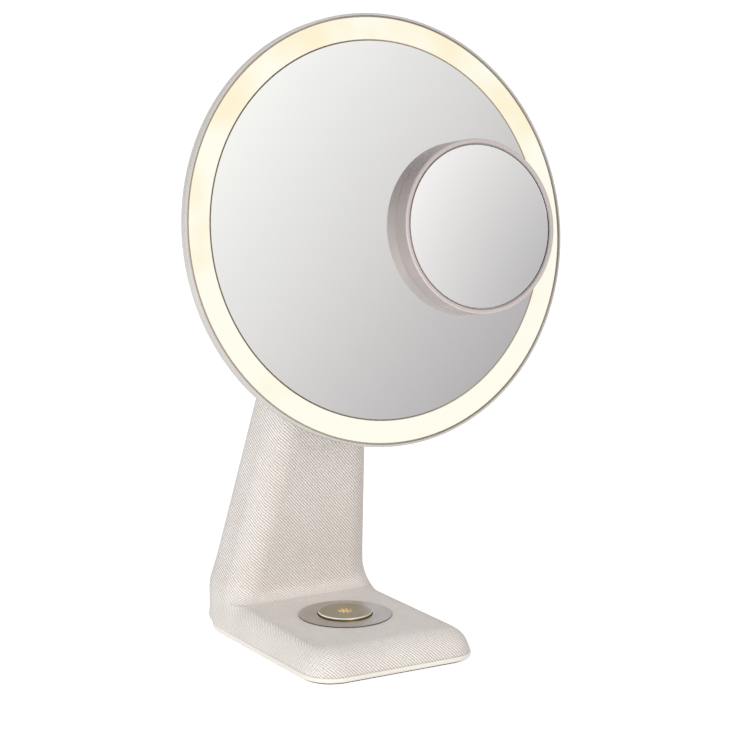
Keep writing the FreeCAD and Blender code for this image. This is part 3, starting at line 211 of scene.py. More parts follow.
def start_material(name, **sockets):
    material = bpy.data.materials.new(name)
    material.use_nodes = True
    tree = material.node_tree
    shader = tree.nodes["Principled BSDF"]
    for label, value in sockets.items():
        shader.inputs[label.replace("_", " ")].default_value = value
    return material, tree, shader.inputs


def srgb(red, green, blue):
    """A colour written as on a screen, 0 to 255, as Blender's linear light."""
    parts = [c / 255 for c in (red, green, blue)]
    return tuple(c / 12.92 if c <= 0.04045 else ((c + 0.055) / 1.055) ** 2.4 for c in parts) + (1.0,)


NUMBER = "NodeSocketFloat"
VECTOR = "NodeSocketVector"
print("group helpers ready")

# %% [markdown]
# An effect that more than one finish needs is one node group.
# Moulded or blasted surfaces are never quite even: a fine grain lifts the surface, and a slower drift
# changes its tone. Handling leaves faint marks that show only as a change of gloss. Edges are painted
# paler, partly as wear and partly as a painted highlight: a Bevel node gives a rounded normal, and where it
# leaves the real normal there is an edge.
# Turned metal carries fine rings about its axis. Last, some pieces of the head look different on their
# front than on their sides, and one mask tells the two apart.

# %% Shared effect: grain
grain_group, given, gives = start_group(
    "surface_grain",
    [("Grain scale", NUMBER, 900.0), ("Drift scale", NUMBER, 14.0)],
    [("Height", NUMBER), ("Drift", NUMBER)])
spot = place_of(grain_group)
fine = noise(grain_group, spot, given["Grain scale"], 2.0, 0.6)
slow = noise(grain_group, spot, given["Drift scale"], 3.0, 0.5)
feed(grain_group, gives["Height"], fine)
feed(grain_group, gives["Drift"], ramp(grain_group, slow, 0.3, 0.7))
print("group:", grain_group.name)

# %% Shared effect: handling marks
marks_group, given, gives = start_group(
    "handling_marks",
    [("Low", NUMBER, 0.3), ("High", NUMBER, 0.4), ("Scale", NUMBER, 30.0)],
    [("Roughness", NUMBER)])
spot = place_of(marks_group)
patch = noise(marks_group, spot, given["Scale"], 4.0, 0.65)
feed(marks_group, gives["Roughness"], ramp(marks_group, patch, 0.35, 0.7, given["Low"], given["High"]))
print("group:", marks_group.name)

# %% Shared effect: edges
# Paler edges: partly wear, partly a painted highlight along every edge.
edge_wear_highlight_group, given, gives = start_group("edge_wear_and_painted_highlight", [("Radius", NUMBER, 0.0006)], [("Mask", NUMBER)])
soft = add(edge_wear_highlight_group, "ShaderNodeBevel", samples=4)
feed(edge_wear_highlight_group, soft.inputs["Radius"], given["Radius"])
true_facing = add(edge_wear_highlight_group, "ShaderNodeNewGeometry").outputs["Normal"]
match = vector_calc(edge_wear_highlight_group, "DOT_PRODUCT", soft.outputs[0], true_facing)
feed(edge_wear_highlight_group, gives["Mask"], ramp(edge_wear_highlight_group, match, 0.995, 0.80))
print("group:", edge_wear_highlight_group.name)

# %% Shared effect: spun metal
RING_TURN = 0.0006
spin_group, given, gives = start_group(
    "spun_rings",
    [("Middle", VECTOR, (0.0, 0.0, 0.0)), ("Rings", NUMBER, 9000.0)],
    [("Height", NUMBER), ("Tone", NUMBER), ("Radius", NUMBER)])
offset = vector_calc(spin_group, "SUBTRACT", place_of(spin_group), given["Middle"])
x, y = split(spin_group, offset)[:2]
radius = vector_calc(spin_group, "LENGTH", pair(spin_group, x, y))
turn = calc(spin_group, "MULTIPLY", calc(spin_group, "ARCTAN2", y, x), RING_TURN)
line = pair(spin_group, radius, turn)
groove = noise(spin_group, line, given["Rings"], 3.0, 0.7)
band = noise(spin_group, line, 900.0, 2.0, 0.6)
feed(spin_group, gives["Height"], groove)
feed(spin_group, gives["Radius"], radius)
feed(spin_group, gives["Tone"], ramp(spin_group, calc(spin_group, "ADD", groove, band), 0.75, 1.25))
print("group:", spin_group.name)

# %% Shared effect: front of the head
HEAD_LEAN = math.radians(10.3)
head_facing = Vector((0, -math.cos(HEAD_LEAN), math.sin(HEAD_LEAN)))
front_group, given, gives = start_group(
    "head_front", [("Low", NUMBER, 0.55), ("High", NUMBER, 0.95)], [("Mask", NUMBER)])
look = vector_calc(front_group, "DOT_PRODUCT", facing_of(front_group), head_facing)
feed(front_group, gives["Mask"], ramp(front_group, look, given["Low"], given["High"]))
print("group:", front_group.name)

# %% [markdown]
# The cloth is a diagonal twill: soft cream ribs about 1.5 mm apart with taupe between them, painted there
# as shade in the grooves, and along each rib the small knuckles of the yarn. Both are waves, one on each
# diagonal of the cloth. The pattern group needs only two distances on the cloth, across and along, so the
# same group serves the front, the sides and the top of the stand.

# %% Shared effect: twill
def waves(tree, distance, pitch, wander=0.0):
    """From 1 to 0 and back once in each pitch of a diagonal, a sum or difference of two distances."""
    count = calc(tree, "DIVIDE", distance, calc(tree, "MULTIPLY", pitch, math.sqrt(2)))
    turns = calc(tree, "MULTIPLY", calc(tree, "ADD", count, wander), 2 * math.pi)
    return calc(tree, "MULTIPLY_ADD", calc(tree, "COSINE", turns), 0.5, 0.5)


twill_group, given, gives = start_group(
    "twill_weave",
    [("Across", NUMBER, 0.0), ("Along", NUMBER, 0.0), ("Rib pitch", NUMBER, 0.0015),
     ("Yarn pitch", NUMBER, 0.0018)],
    [("Height", NUMBER)])
uneven = noise(twill_group, pair(twill_group, given["Across"], given["Along"]), 420.0, 2.0, 0.6)
wander = calc(twill_group, "MULTIPLY_ADD", uneven, 0.5, -0.25)
rising = calc(twill_group, "ADD", given["Across"], given["Along"])
falling = calc(twill_group, "SUBTRACT", given["Along"], given["Across"])
rib = calc(twill_group, "POWER", waves(twill_group, rising, given["Rib pitch"], wander), 0.75)
knuckle = calc(twill_group, "MULTIPLY_ADD", waves(twill_group, falling, given["Yarn pitch"]), 0.42, 0.55)
feed(twill_group, gives["Height"], calc(twill_group, "MULTIPLY", rib, knuckle))
print("group:", twill_group.name)

# %% [markdown]
# A weave could be laid on from the front, the sides and the top and blended, but then the ribs break up on
# every round corner. Real cloth runs on round a corner. So the sleeve, made further on, stores for each of
# its points how far it lies across and along the cloth, and the finish reads these two distances. The sides
# of the foot are a second cut of the cloth, with distances of their own, and a stored share says which
# cut a point belongs to. There the weave shows less. The yarn is spun from cream and taupe fibres, so a
# fine mottle lies over all of it.

# %% Cloth finish
CLOTH_STRETCH = 1.05
WEAVE_LEVEL = 0.4
SIDE_CALM, HEATHER_CALM = 0.8, 0.6
cloth, tree, slots = start_material("cloth_twill", Sheen_Weight=0.12, Sheen_Roughness=0.5,
                                    Specular_IOR_Level=0.2)
laid = []
for name in ("cloth_main", "cloth_side"):
    across, run, side_share = split(tree, stored(tree, name))
    across = calc(tree, "MULTIPLY", across, CLOTH_STRETCH)
    laid.append(use_group(tree, twill_group, Across=across, Along=run)["Height"])
weave = calc(tree, "ADD", calc(tree, "MULTIPLY", laid[0], calc(tree, "SUBTRACT", 1.0, side_share)),
             calc(tree, "MULTIPLY", laid[1], side_share))
weave = calc(tree, "MULTIPLY_ADD", calc(tree, "SUBTRACT", weave, WEAVE_LEVEL),
             calc(tree, "MULTIPLY_ADD", side_share, -SIDE_CALM, 1.0), WEAVE_LEVEL)
fibre = noise(tree, place_of(tree), 2600.0, 2.0, 0.6)
heather = calc(tree, "MULTIPLY_ADD", noise(tree, place_of(tree), 900.0, 2.0, 0.7), 0.6, -0.3)
heather = calc(tree, "MULTIPLY", heather, calc(tree, "MULTIPLY_ADD", side_share, -HEATHER_CALM, 1.0))
slub = ramp(tree, noise(tree, place_of(tree), 45.0, 3.0, 0.6), 0.3, 0.7)
lift = calc(tree, "ADD", weave, calc(tree, "MULTIPLY", fibre, 0.18))
yarn_colour = blend_colour(tree, slub, srgb(240, 235, 231), srgb(246, 242, 239))
# Where the weave lies low, between the ribs, the colour goes to taupe: a painted shade in the grooves. The
# fibre and heather mottle in it is the yarn's own tone.
shown = ramp(tree, calc(tree, "ADD", lift, heather), 0.12, 0.75)
cloth_colour = blend_colour(tree, shown, srgb(190, 180, 172), yarn_colour)
feed(tree, slots["Base Color"], cloth_colour)
feed(tree, slots["Roughness"], ramp(tree, weave, 0.0, 1.0, 0.95, 0.8))
feed(tree, slots["Normal"], bump(tree, lift, 0.0003, 0.7))
print("finish:", cloth.name)

# %% [markdown]
# The cream rim of the foot, the shells, the rubber and the other moulded pieces differ only in colour,
# grain and gloss, so one function makes all of their finishes from the shared groups.

# %% Moulded finishes
def moulded(name, colour, shade, low, high, grain=900.0, relief=0.00003, edge=0.25, **sockets):
    material, tree, slots = start_material(name, **sockets)
    grain_out = use_group(tree, grain_group, Grain_scale=grain)
    body = blend_colour(tree, grain_out["Drift"], shade, colour)
    # Edges are painted paler: partly wear, partly a painted highlight.
    pale_wear_and_highlight = tuple(min(1.0, c * 1.25) for c in colour[:3]) + (1.0,)
    edge_wear_highlight_mask = calc(tree, "MULTIPLY", use_group(tree, edge_wear_highlight_group)["Mask"], edge)
    feed(tree, slots["Base Color"], blend_colour(tree, edge_wear_highlight_mask, body, pale_wear_and_highlight))
    feed(tree, slots["Roughness"], use_group(tree, marks_group, Low=low, High=high)["Roughness"])
    feed(tree, slots["Normal"], bump(tree, grain_out["Height"], relief, 0.5))
    return material


finishes = {
    "stand_fabric": cloth,
    "rim_plastic": moulded("rim_cream", srgb(244, 239, 231), srgb(239, 233, 224), 0.35, 0.5, 1100.0),
    "shell_plastic": moulded("shell_grey", srgb(190, 185, 178), srgb(182, 177, 170), 0.5, 0.6),
    "dark_plastic": moulded("dark_moulding", srgb(58, 56, 55), srgb(48, 47, 46), 0.4, 0.55),
    "white_plastic": moulded("channel_plastic", srgb(186, 179, 170), srgb(178, 171, 162), 0.4, 0.5),
    "board": moulded("board_lacquer", srgb(40, 96, 62), srgb(30, 84, 54), 0.25, 0.4, 500.0),
    "battery": moulded("battery_sleeve", srgb(62, 84, 128), srgb(52, 74, 116), 0.25, 0.38),
    "lead": moulded("lead_rubber", srgb(40, 40, 41), srgb(32, 32, 33), 0.5, 0.65),
    "tape": moulded("foam_tape", srgb(215, 213, 208), srgb(200, 198, 193), 0.8, 0.95, 600.0, 0.0001),
    "soft_pad": moulded("soft_pad", srgb(96, 91, 87), srgb(84, 79, 75), 0.8, 0.95, 1500.0, 0.00015),
    "soft_foot": moulded("foot_rubber", srgb(62, 60, 58), srgb(50, 48, 47), 0.7, 0.9, 700.0, 0.0002),
    "led": moulded("led_phosphor", srgb(250, 226, 140), srgb(244, 214, 120), 0.3, 0.45),
}
print("moulded finishes:", len(finishes))

# %% [markdown]
# Metal is told by its gloss. The control plate and its button are turned on a lathe, so their lines are
# fine rings about the button's middle, and the button's edge is polished. That polished edge also carries a
# painted highlight, white on its front left and gold to the right, and the upright sides of the plate and
# the button carry a painted shade. The bezel and the magnifier's housing are a smooth satin metal with a
# warm grey tone, partly coated, so they are only half metallic; the housing's front face is painted lighter
# than its sides, a painted highlight. Hinge parts are dark satin, and screws and pins are plain steel.

# %% Metal finishes
plate_low, plate_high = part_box("button_plate")
plate_middle = (plate_low + plate_high) / 2
button_low, button_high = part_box("button_cap")
button_radius = (button_high.x - button_low.x) / 2
GAP_INNER, GAP_OUTER = 0.0001, 0.0003
POLISH_START, POLISH_FULL = 0.0006, 0.0003


def spun(name, colour, shade, middle, low, high):
    material, tree, slots = start_material(name, Metallic=1.0)
    rings = use_group(tree, spin_group, Middle=middle)
    body = blend_colour(tree, rings["Tone"], shade, colour)
    on_button = ramp(tree, rings["Radius"], button_radius + GAP_OUTER, button_radius + GAP_INNER)
    body = blend_colour(tree, on_button, body, srgb(228, 226, 202), "MULTIPLY")
    facing = split(tree, facing_of(tree))
    sideways, upright = facing[0], facing[2]
    # The upright sides of the plate and the button are darkened: a painted shade.
    painted_side_shade = blend_colour(tree, on_button, srgb(150, 142, 136), srgb(215, 200, 165))
    body = blend_colour(tree, ramp(tree, upright, 0.7, 0.3), body, painted_side_shade, "MULTIPLY")
    # The polished band at the button's edge, where the painted highlight goes.
    edge = ramp(tree, rings["Radius"], button_radius - POLISH_START, button_radius - POLISH_FULL)
    edge = calc(tree, "MULTIPLY", edge, ramp(tree, upright, 0.0, 0.25))
    polished_edge_and_painted_highlight = calc(tree, "MULTIPLY", on_button, edge)
    # Painted highlight on the polished edge: white where it faces left, gold where it faces right. The band
    # is also made less metallic so it reads bright.
    shine = blend_colour(tree, ramp(tree, sideways, -0.1, 0.5), srgb(255, 252, 240), srgb(206, 188, 142))
    feed(tree, slots["Base Color"], blend_colour(tree, polished_edge_and_painted_highlight, body, shine))
    feed(tree, slots["Metallic"], calc(tree, "MULTIPLY_ADD", polished_edge_and_painted_highlight, -0.45, 1.0))
    gloss = use_group(tree, marks_group, Low=low, High=high, Scale=60.0)["Roughness"]
    keen = calc(tree, "MULTIPLY_ADD", polished_edge_and_painted_highlight, -0.65, 1.0)
    feed(tree, slots["Roughness"], calc(tree, "MULTIPLY", gloss, keen))
    feed(tree, slots["Normal"], bump(tree, rings["Height"], 0.00002, 0.5))
    return material


def plain_metal(name, colour, shade, low, high, grain=1600.0, metal=1.0, relief=0.00001, edge=0.3,
                front=None):
    material, tree, slots = start_material(name, Metallic=metal)
    grain_out = use_group(tree, grain_group, Grain_scale=grain, Drift_scale=22.0)
    body = blend_colour(tree, grain_out["Drift"], shade, colour)
    # A front colour, where given, is painted on faces that look to the front of the head: a painted
    # highlight, lighter than the sides.
    if front:
        body = blend_colour(tree, use_group(tree, front_group)["Mask"], body, front)
    # Edges are painted paler: partly wear, partly a painted highlight.
    edge_wear_highlight_mask = calc(tree, "MULTIPLY", use_group(tree, edge_wear_highlight_group, Radius=0.0004)["Mask"], edge)
    pale_wear_and_highlight = tuple(min(1.0, c * 1.5) for c in colour[:3]) + (1.0,)
    feed(tree, slots["Base Color"], blend_colour(tree, edge_wear_highlight_mask, body, pale_wear_and_highlight))
    feed(tree, slots["Roughness"], use_group(tree, marks_group, Low=low, High=high)["Roughness"])
    feed(tree, slots["Normal"], bump(tree, grain_out["Height"], relief, 0.4))
    return material


finishes["nickel"] = spun("spun_nickel", srgb(196, 190, 187), srgb(187, 181, 178), plate_middle, 0.3, 0.42)
# The housing's lighter front face is a painted highlight.
finishes["housing_metal"] = plain_metal("satin_housing", srgb(178, 170, 168), srgb(171, 163, 161), 0.4, 0.5,
                                        metal=0.5, relief=0.000002, edge=0.0, front=srgb(204, 195, 193))
finishes["bezel"] = plain_metal("satin_greige", srgb(206, 202, 198), srgb(200, 196, 192), 0.38, 0.46,
                                metal=0.45, relief=0.000002, edge=0.0)
finishes["hinge_metal"] = plain_metal("hinge_grey", srgb(122, 119, 116), srgb(110, 107, 104), 0.38, 0.5)
finishes["steel"] = plain_metal("plain_steel", srgb(190, 190, 192), srgb(176, 176, 178), 0.22, 0.36)
finishes["ballast"] = moulded("cast_weight", srgb(88, 86, 84), srgb(70, 69, 68), 0.6, 0.75, 400.0, 0.0002,
                              Metallic=0.7)
print("finishes so far:", len(finishes), "button radius, mm:", round(button_radius * 1000, 3))

# %% [markdown]
# Silvered glass is a metal that is almost perfectly smooth. A trace of change in its gloss, far too little
# to blur a picture, keeps it from looking like a hole in the render. Its ground edge is duller.

# %% Mirror finish
def mirror_gloss(tree, face, dull):
    """Almost perfectly smooth on the silvered face, dull beyond it."""
    marks = use_group(tree, marks_group, Low=0.004, High=0.02, Scale=18.0)["Roughness"]
    return calc(tree, "MULTIPLY_ADD", calc(tree, "SUBTRACT", 1.0, face), dull, marks)


mirror, tree, slots = start_material("silvered_glass", Metallic=1.0, Coat_Weight=0.3, Coat_Roughness=0.0)
grain_out = use_group(tree, grain_group, Grain_scale=300.0, Drift_scale=9.0)
silver = blend_colour(tree, grain_out["Drift"], srgb(250, 250, 250), srgb(252, 252, 251))
faced = use_group(tree, front_group)["Mask"]
feed(tree, slots["Base Color"], blend_colour(tree, faced, srgb(206, 199, 188), silver))
feed(tree, slots["Roughness"], mirror_gloss(tree, faced, 0.5))
finishes["mirror"] = mirror
print("finish:", mirror.name)

# %% [markdown]
# The light ring is frosted plastic lit from behind. Its face glows almost white, with slow warm patches,
# more of them towards the top, as light chips differ a little in tone. Only the face glows: the ring's
# walls stay dull, so the thin gaps on both sides of it read as dark lines, as they do on the real head.

# %% Lit finishes
RING_MIDDLE = 0.25
WARM_RISE = 1.1
SUN_CORE = (0.0011, 0.0018)
lit, tree, slots = start_material("lit_ring", Roughness=0.35, Emission_Strength=1.0)
shown = use_group(tree, front_group, Low=0.5, High=0.9)["Mask"]
spot = place_of(tree)
higher = calc(tree, "MULTIPLY", calc(tree, "SUBTRACT", split(tree, spot)[2], RING_MIDDLE), WARM_RISE)
warm = ramp(tree, calc(tree, "ADD", noise(tree, spot, 21.0, 2.0, 0.5), higher), 0.46, 0.74)
glow = blend_colour(tree, warm, srgb(248, 246, 231), srgb(247, 236, 203))
feed(tree, slots["Emission Color"], blend_colour(tree, shown, srgb(138, 128, 114), glow))
feed(tree, slots["Base Color"], blend_colour(tree, shown, srgb(150, 138, 122), srgb(40, 40, 38)))
finishes["diffuser"] = lit

window, tree, slots = start_material("lit_icon", Roughness=0.3, Emission_Strength=1.0)
core = ramp(tree, noise(tree, place_of(tree), 400.0, 2.0, 0.5), 0.3, 0.7)
sun_light = blend_colour(tree, core, srgb(255, 205, 40), srgb(255, 226, 110))
sun_radius = use_group(tree, spin_group, Middle=plate_middle)["Radius"]
sun_light = blend_colour(tree, ramp(tree, sun_radius, *SUN_CORE), srgb(150, 112, 26), sun_light)
feed(tree, slots["Emission Color"], sun_light)
feed(tree, slots["Base Color"], blend_colour(tree, core, srgb(120, 90, 10), srgb(140, 110, 30)))
finishes["light_window"] = window
print("lit finishes:", lit.name, window.name)

# %% [markdown]
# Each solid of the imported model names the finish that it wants, so dressing them all is one loop. The
# solids stay where they are, and their shapes aren't touched.

# %% Put the finishes on the solids
for entry in frame["record"]["subparts"]:
    solid = nodes[entry["node"]]
    solid.data.materials.clear()
    solid.data.materials.append(finishes[entry["material_slot"]])

# %% [markdown]
# The pieces that follow are made here as meshes. Two helpers serve them: one makes a smooth object from
# points and faces, and one drops the points that no face uses and turns all the faces the same way out.

# %% Helpers for meshes
def make_piece(name, points, faces, finish, sharp_from=None):
    """A smooth object; edges that turn by more than sharp_from degrees stay sharp."""
    mesh = bpy.data.meshes.new(name)
    mesh.from_pydata([tuple(p) for p in points], [], faces)
    mesh.update()
    mesh.polygons.foreach_set("use_smooth", [True] * len(mesh.polygons))
    if sharp_from:
        mesh.set_sharp_from_angle(angle=math.radians(sharp_from))
    mesh.materials.append(finish)
    piece = bpy.data.objects.new(name, mesh)
    scene.collection.objects.link(piece)
    return piece


def clean_mesh(mesh):
    work = bmesh.new()
    work.from_mesh(mesh)
    bmesh.ops.delete(work, geom=[v for v in work.verts if not v.link_faces], context="VERTS")
    bmesh.ops.recalc_face_normals(work, faces=work.faces)
    work.to_mesh(mesh)
    work.free()


print("mesh helpers ready")

# %% [markdown]
# The cloth on the stand is one sleeve, pulled over the shells and tucked in at the rim and under the cap.
# It could be cut from the solid, but that mesh is long thin triangles that shade badly. So a new even net
# is laid over it: planes are swept from the front edge of the foot, over the pad and up the column, and in
# each plane rays shot inwards find the surface. Each plane leans down towards the back, so that on the pad
# it meets the top in one clean line.

# %% Guide lines for the sleeve
RIM_TOP = 0.004
PAD_TOP = 0.019
FRONT_LEAN = 0.0026
FOOT_ROWS, PAD_ROWS, COLUMN_ROWS = 16, 104, 186
BACK_OF_FOOT, BACK_OF_PAD = 0.0048, 0.014
EDGE = 0.0001
cover_low, cover_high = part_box("fabric_cover")
TOP = cover_high.z
FRONT_FOOT = (cover_low.y, RIM_TOP)
PAD_FRONT = (cover_low.y + FRONT_LEAN, PAD_TOP)
PAD_BACK = (0.0408, PAD_TOP)
COLUMN_FRONT = (-0.01626, TOP)
BACK_LINE = [(0.0779, RIM_TOP), (0.0856, 0.020), (0.0855, 0.028), (0.0309, TOP)]


def along(a, b, count):
    return [(a[0] + (b[0] - a[0]) * k / count, a[1] + (b[1] - a[1]) * k / count) for k in range(count)]


def back_at(z):
    return (np.interp(z, [p[1] for p in BACK_LINE], [p[0] for p in BACK_LINE]), z)


def inside_edges(z):
    return min(max(z, RIM_TOP + EDGE), TOP - EDGE)


fronts = along(FRONT_FOOT, PAD_FRONT, FOOT_ROWS) + along(PAD_FRONT, PAD_BACK, PAD_ROWS)
fronts += along(PAD_BACK, COLUMN_FRONT, COLUMN_ROWS) + [COLUMN_FRONT]
backs = [*np.linspace(RIM_TOP, BACK_OF_FOOT, FOOT_ROWS, False),
         *np.linspace(BACK_OF_FOOT, BACK_OF_PAD, PAD_ROWS, False),
         *np.linspace(BACK_OF_PAD, TOP, COLUMN_ROWS + 1)]
rows = [((y, inside_edges(z)), back_at(inside_edges(b))) for (y, z), b in zip(fronts, backs)]
print("planes over the stand:", len(rows))

# %% Walk round one row of the net
ACROSS = 112
DEEP = 104
WIDTH_LINE = [(0.056, RIM_TOP), (0.0505, 0.02), (0.0455, 0.048), (0.0206, TOP)]


def half_width(z):
    return np.interp(z, [p[1] for p in WIDTH_LINE], [p[0] for p in WIDTH_LINE])


def box_walk():
    """Places once round a square of half side 1, from the middle of its back."""
    side = np.linspace(-1, 1, ACROSS, False)
    deep = np.linspace(-1, 1, DEEP, False)
    back_to_right = [(s, 1.0) for s in np.linspace(0, 1, ACROSS // 2, False)]
    right_side = [(1.0, -d) for d in deep]
    front = [(-s, -1.0) for s in side]
    left_side = [(-1.0, d) for d in deep]
    left_to_back = [(s, 1.0) for s in np.linspace(-1, 0, ACROSS // 2, False)]
    return back_to_right + right_side + front + left_side + left_to_back


walk = box_walk()
print("points in a row:", len(walk))

# %% Shoot the sleeve's net onto the form
RAY = 0.25
cover = nodes["fabric_cover"].data
form = BVHTree.FromPolygons([v.co for v in cover.vertices], [p.vertices for p in cover.polygons])


def row_on_form(front_point, back_point):
    """The points of one row, the way out at each of them, and how many rays fell into a hole."""
    front = Vector((0, *front_point))
    behind = Vector((0, *back_point))
    middle = (front + behind) / 2
    deep_way = (behind - front) / 2
    wide_way = Vector((1, 0, 0)) * half_width(middle.z)
    ways = [(wide_way * s + deep_way * d).normalized() for s, d in walk]
    hits = [form.ray_cast(middle + way * RAY, -way, RAY)[0] for way in ways]
    found = np.array([np.nan if hit is None else (hit - middle).dot(way) for hit, way in zip(hits, ways)])
    good = np.isfinite(found)
    places = np.arange(len(walk))
    found = np.interp(places, places[good], found[good], period=len(walk))
    points = [tuple(middle + way * far) for way, far in zip(ways, found)]
    return points, [tuple(way) for way in ways], int((~good).sum())


shot = [row_on_form(*row) for row in rows]
net = np.array([row[0] for row in shot])
outward = np.array([row[1] for row in shot])
print("net:", net.shape[:2], "places filled in over the holes:", sum(row[2] for row in shot))

# %% [markdown]
# Rays land on the flat facets of the solid, so the net is smoothed a few times to lose them: each point
# moves half way to the mean of its neighbours. The cloth meets itself in one seam down the back.

# %% Smooth the net and open its seam
SMOOTHING = 3
SEAM = 0.0004
for smoothing_pass in range(SMOOTHING):
    beside = (np.roll(net, 1, axis=1) + np.roll(net, -1, axis=1)) / 2
    above_below = (net[:-2] + net[2:]) / 2
    net[1:-1] = net[1:-1] * 0.5 + above_below * 0.25 + beside[1:-1] * 0.25
net = np.concatenate([net, net[:, :1]], axis=1)
outward = np.concatenate([outward, outward[:, :1]], axis=1)
net[:, 0] -= outward[:, 0] * SEAM
net[:, -1] -= outward[:, -1] * SEAM
print("net with its back seam opened:", net.shape[:2])

# %% [markdown]
# The weave needs two distances at each point: along the cloth, up from the front hem, and across it, from
# the middle of the front. Along is measured on two lines beside the control plate, where no opening
# disturbs the net. Across is counted round each row. The sides of the foot stand on end beside the pad, so
# they get the second cut, whose distances run on from the flanks of the column above them.

# %% Distances on the cloth
CLEAR_OF_PLATE = 21
first_front = ACROSS // 2 + DEEP
last_front = first_front + ACROSS
front_middle = (first_front + last_front) // 2
place = np.arange(net.shape[1])
beside_plate = [first_front + CLEAR_OF_PLATE, last_front - CLEAR_OF_PLATE]
climb = np.linalg.norm(np.diff(net[:, beside_plate], axis=0), axis=2).mean(axis=1)
run = np.concatenate([[0], np.cumsum(climb)])[:, None] + np.zeros(net.shape[:2])

SIDE_RATE = 0.55
steps = np.diff(net, axis=1)
on_front = (place[:-1] >= first_front) & (place[:-1] < last_front)
side_steps = np.abs(steps[:, :, 0]) + SIDE_RATE * np.abs(steps[:, :, 1])
walked = np.cumsum(np.where(on_front, -steps[:, :, 0], side_steps), axis=1)
walked = np.concatenate([np.zeros((len(net), 1)), walked], axis=1)
across = walked[:, front_middle:front_middle + 1] - walked
print("cloth up the front, m:", round(run[-1, 0], 3))

# %% Second cut for the sides of the foot
COLUMN_ROW = 126
SHARE_COLUMNS = 24
SHARE_ROWS = 12
hand = np.where(place < front_middle, 1.0, -1.0)
from_seam = np.minimum(walked, walked[:, -1:] - walked)
side_across = hand * (walked[COLUMN_ROW, -1] / 2 - from_seam)
side_run = run[COLUMN_ROW] + net[:, :, 2] - net[COLUMN_ROW, :, 2]
beyond_front = np.maximum(first_front - place, place - last_front)
below_column = COLUMN_ROW + SHARE_ROWS / 2 - np.arange(len(net))
row_share = np.clip(below_column / SHARE_ROWS, 0, 1)
column_share = np.clip(beyond_front / SHARE_COLUMNS, 0, 1)
share = row_share[:, None] * column_share[None]
cuts = {"cloth_main": np.stack([across, run, share], axis=2),
        "cloth_side": np.stack([side_across, side_run, share], axis=2)}
print("points on the second cut:", int((share > 0.5).sum()))

# %% [markdown]
# The edges of the cloth are turned in like a hem, and the cloth is opened where the control plate and the
# charging socket come through. Both openings end under the plate or the socket's lip, as real cut edges do.

# %% Hem and openings
HEM = 0.0008
PLATE_OPENING, PLATE_BAND = 0.0222, 0.002
PORT_HALF_WIDTH, PORT_HALF_HEIGHT = 0.0062, 0.0034
BACK_FROM = 0.07
hem_low = net[:1] - outward[:1] * HEM
hem_high = net[-1:] - outward[-1:] * HEM
net = np.concatenate([hem_low, net, hem_high])
cuts = {name: np.concatenate([cut[:1], cut, cut[-1:]]) for name, cut in cuts.items()}
sleeve_points = net.reshape(-1, 3)
port_low, port_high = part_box("port_bezel")
port_middle = (port_low + port_high) / 2


def opened(point):
    """Whether a place on the cloth is cut away for the plate or the socket."""
    x, y, z = point
    over_plate = abs(z - PAD_TOP) < PLATE_BAND and math.hypot(x, y - plate_middle.y) < PLATE_OPENING
    over_port = y > BACK_FROM and abs(x) < PORT_HALF_WIDTH and abs(z - port_middle.z) < PORT_HALF_HEIGHT
    return over_plate or over_port


cut_away = np.array([opened(p) for p in sleeve_points])
row_length = net.shape[1]
sleeve_faces = []
for r in range(len(net) - 1):
    for c in range(row_length - 1):
        corner, over = r * row_length + c, (r + 1) * row_length + c
        quad = (corner, corner + 1, over + 1, over)
        if not cut_away[list(quad)].any():
            sleeve_faces.append(quad)
print("sleeve faces:", len(sleeve_faces))

# %% Tie the sleeve to the stand
sleeve = make_piece("fabric_sleeve", sleeve_points, sleeve_faces, cloth)
for name, values in cuts.items():
    layer = sleeve.data.attributes.new(name, "FLOAT_VECTOR", "POINT")
    layer.data.foreach_set("vector", values.reshape(-1).astype(np.float32))
clean_mesh(sleeve.data)
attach(sleeve, "stand")
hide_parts("fabric_cover")

# %% [markdown]
# The magnifier's glass is hollow: ground to a sphere of 400 mm radius, silvered, and held in a thin lip
# whose inner wall is painted near black, a painted shade in the gap at the glass's edge. The solid's mesh
# has too few faces for a clean reflection, so the glass is turned again here, as on a lathe: one profile
# swept round the axis in fine steps. Its sizes are measured on the solid.

# %% Sizes of the magnifier
glass_low, glass_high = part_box("magnifier_glass")
glass_middle = (glass_low + glass_high) / 2


def lathe_sizes(node):
    """Radius, lowest and highest place of a solid, measured on the axis of the magnifier."""
    points = [v.co - glass_middle for v in nodes[node].data.vertices]
    heights = [p.dot(head_facing) for p in points]
    radius = max((p - head_facing * h).length for p, h in zip(points, heights))
    return radius, min(heights), max(heights)


glass_radius, glass_back, glass_rim = lathe_sizes("magnifier_glass")
housing_radius, housing_back = lathe_sizes("magnifier_housing")[:2]
flat_front = lathe_sizes("mirror_glass")[2]
print("glass radius, m:", round(glass_radius, 4), "gap under the housing, mm:",
      round((housing_back - flat_front) * 1000, 2))

# %% Finish of the magnifier's glass
WALL_FOOT = 0.0002
WALL_START = 0.00012
LIP_START, LIP_FULL = 0.00003, 0.00007
hollow, tree, slots = start_material("hollow_glass", Metallic=1.0, Coat_Weight=0.2, Coat_Roughness=0.0)
offset = vector_calc(tree, "SUBTRACT", place_of(tree), glass_middle)
far = calc(tree, "POWER", vector_calc(tree, "LENGTH", offset), 2.0)
high = calc(tree, "POWER", vector_calc(tree, "DOT_PRODUCT", offset, head_facing), 2.0)
from_axis = calc(tree, "SQRT", calc(tree, "SUBTRACT", far, high))
silver = ramp(tree, from_axis, glass_radius - WALL_START, glass_radius - WALL_FOOT)
lip = ramp(tree, from_axis, glass_radius + LIP_START, glass_radius + LIP_FULL)
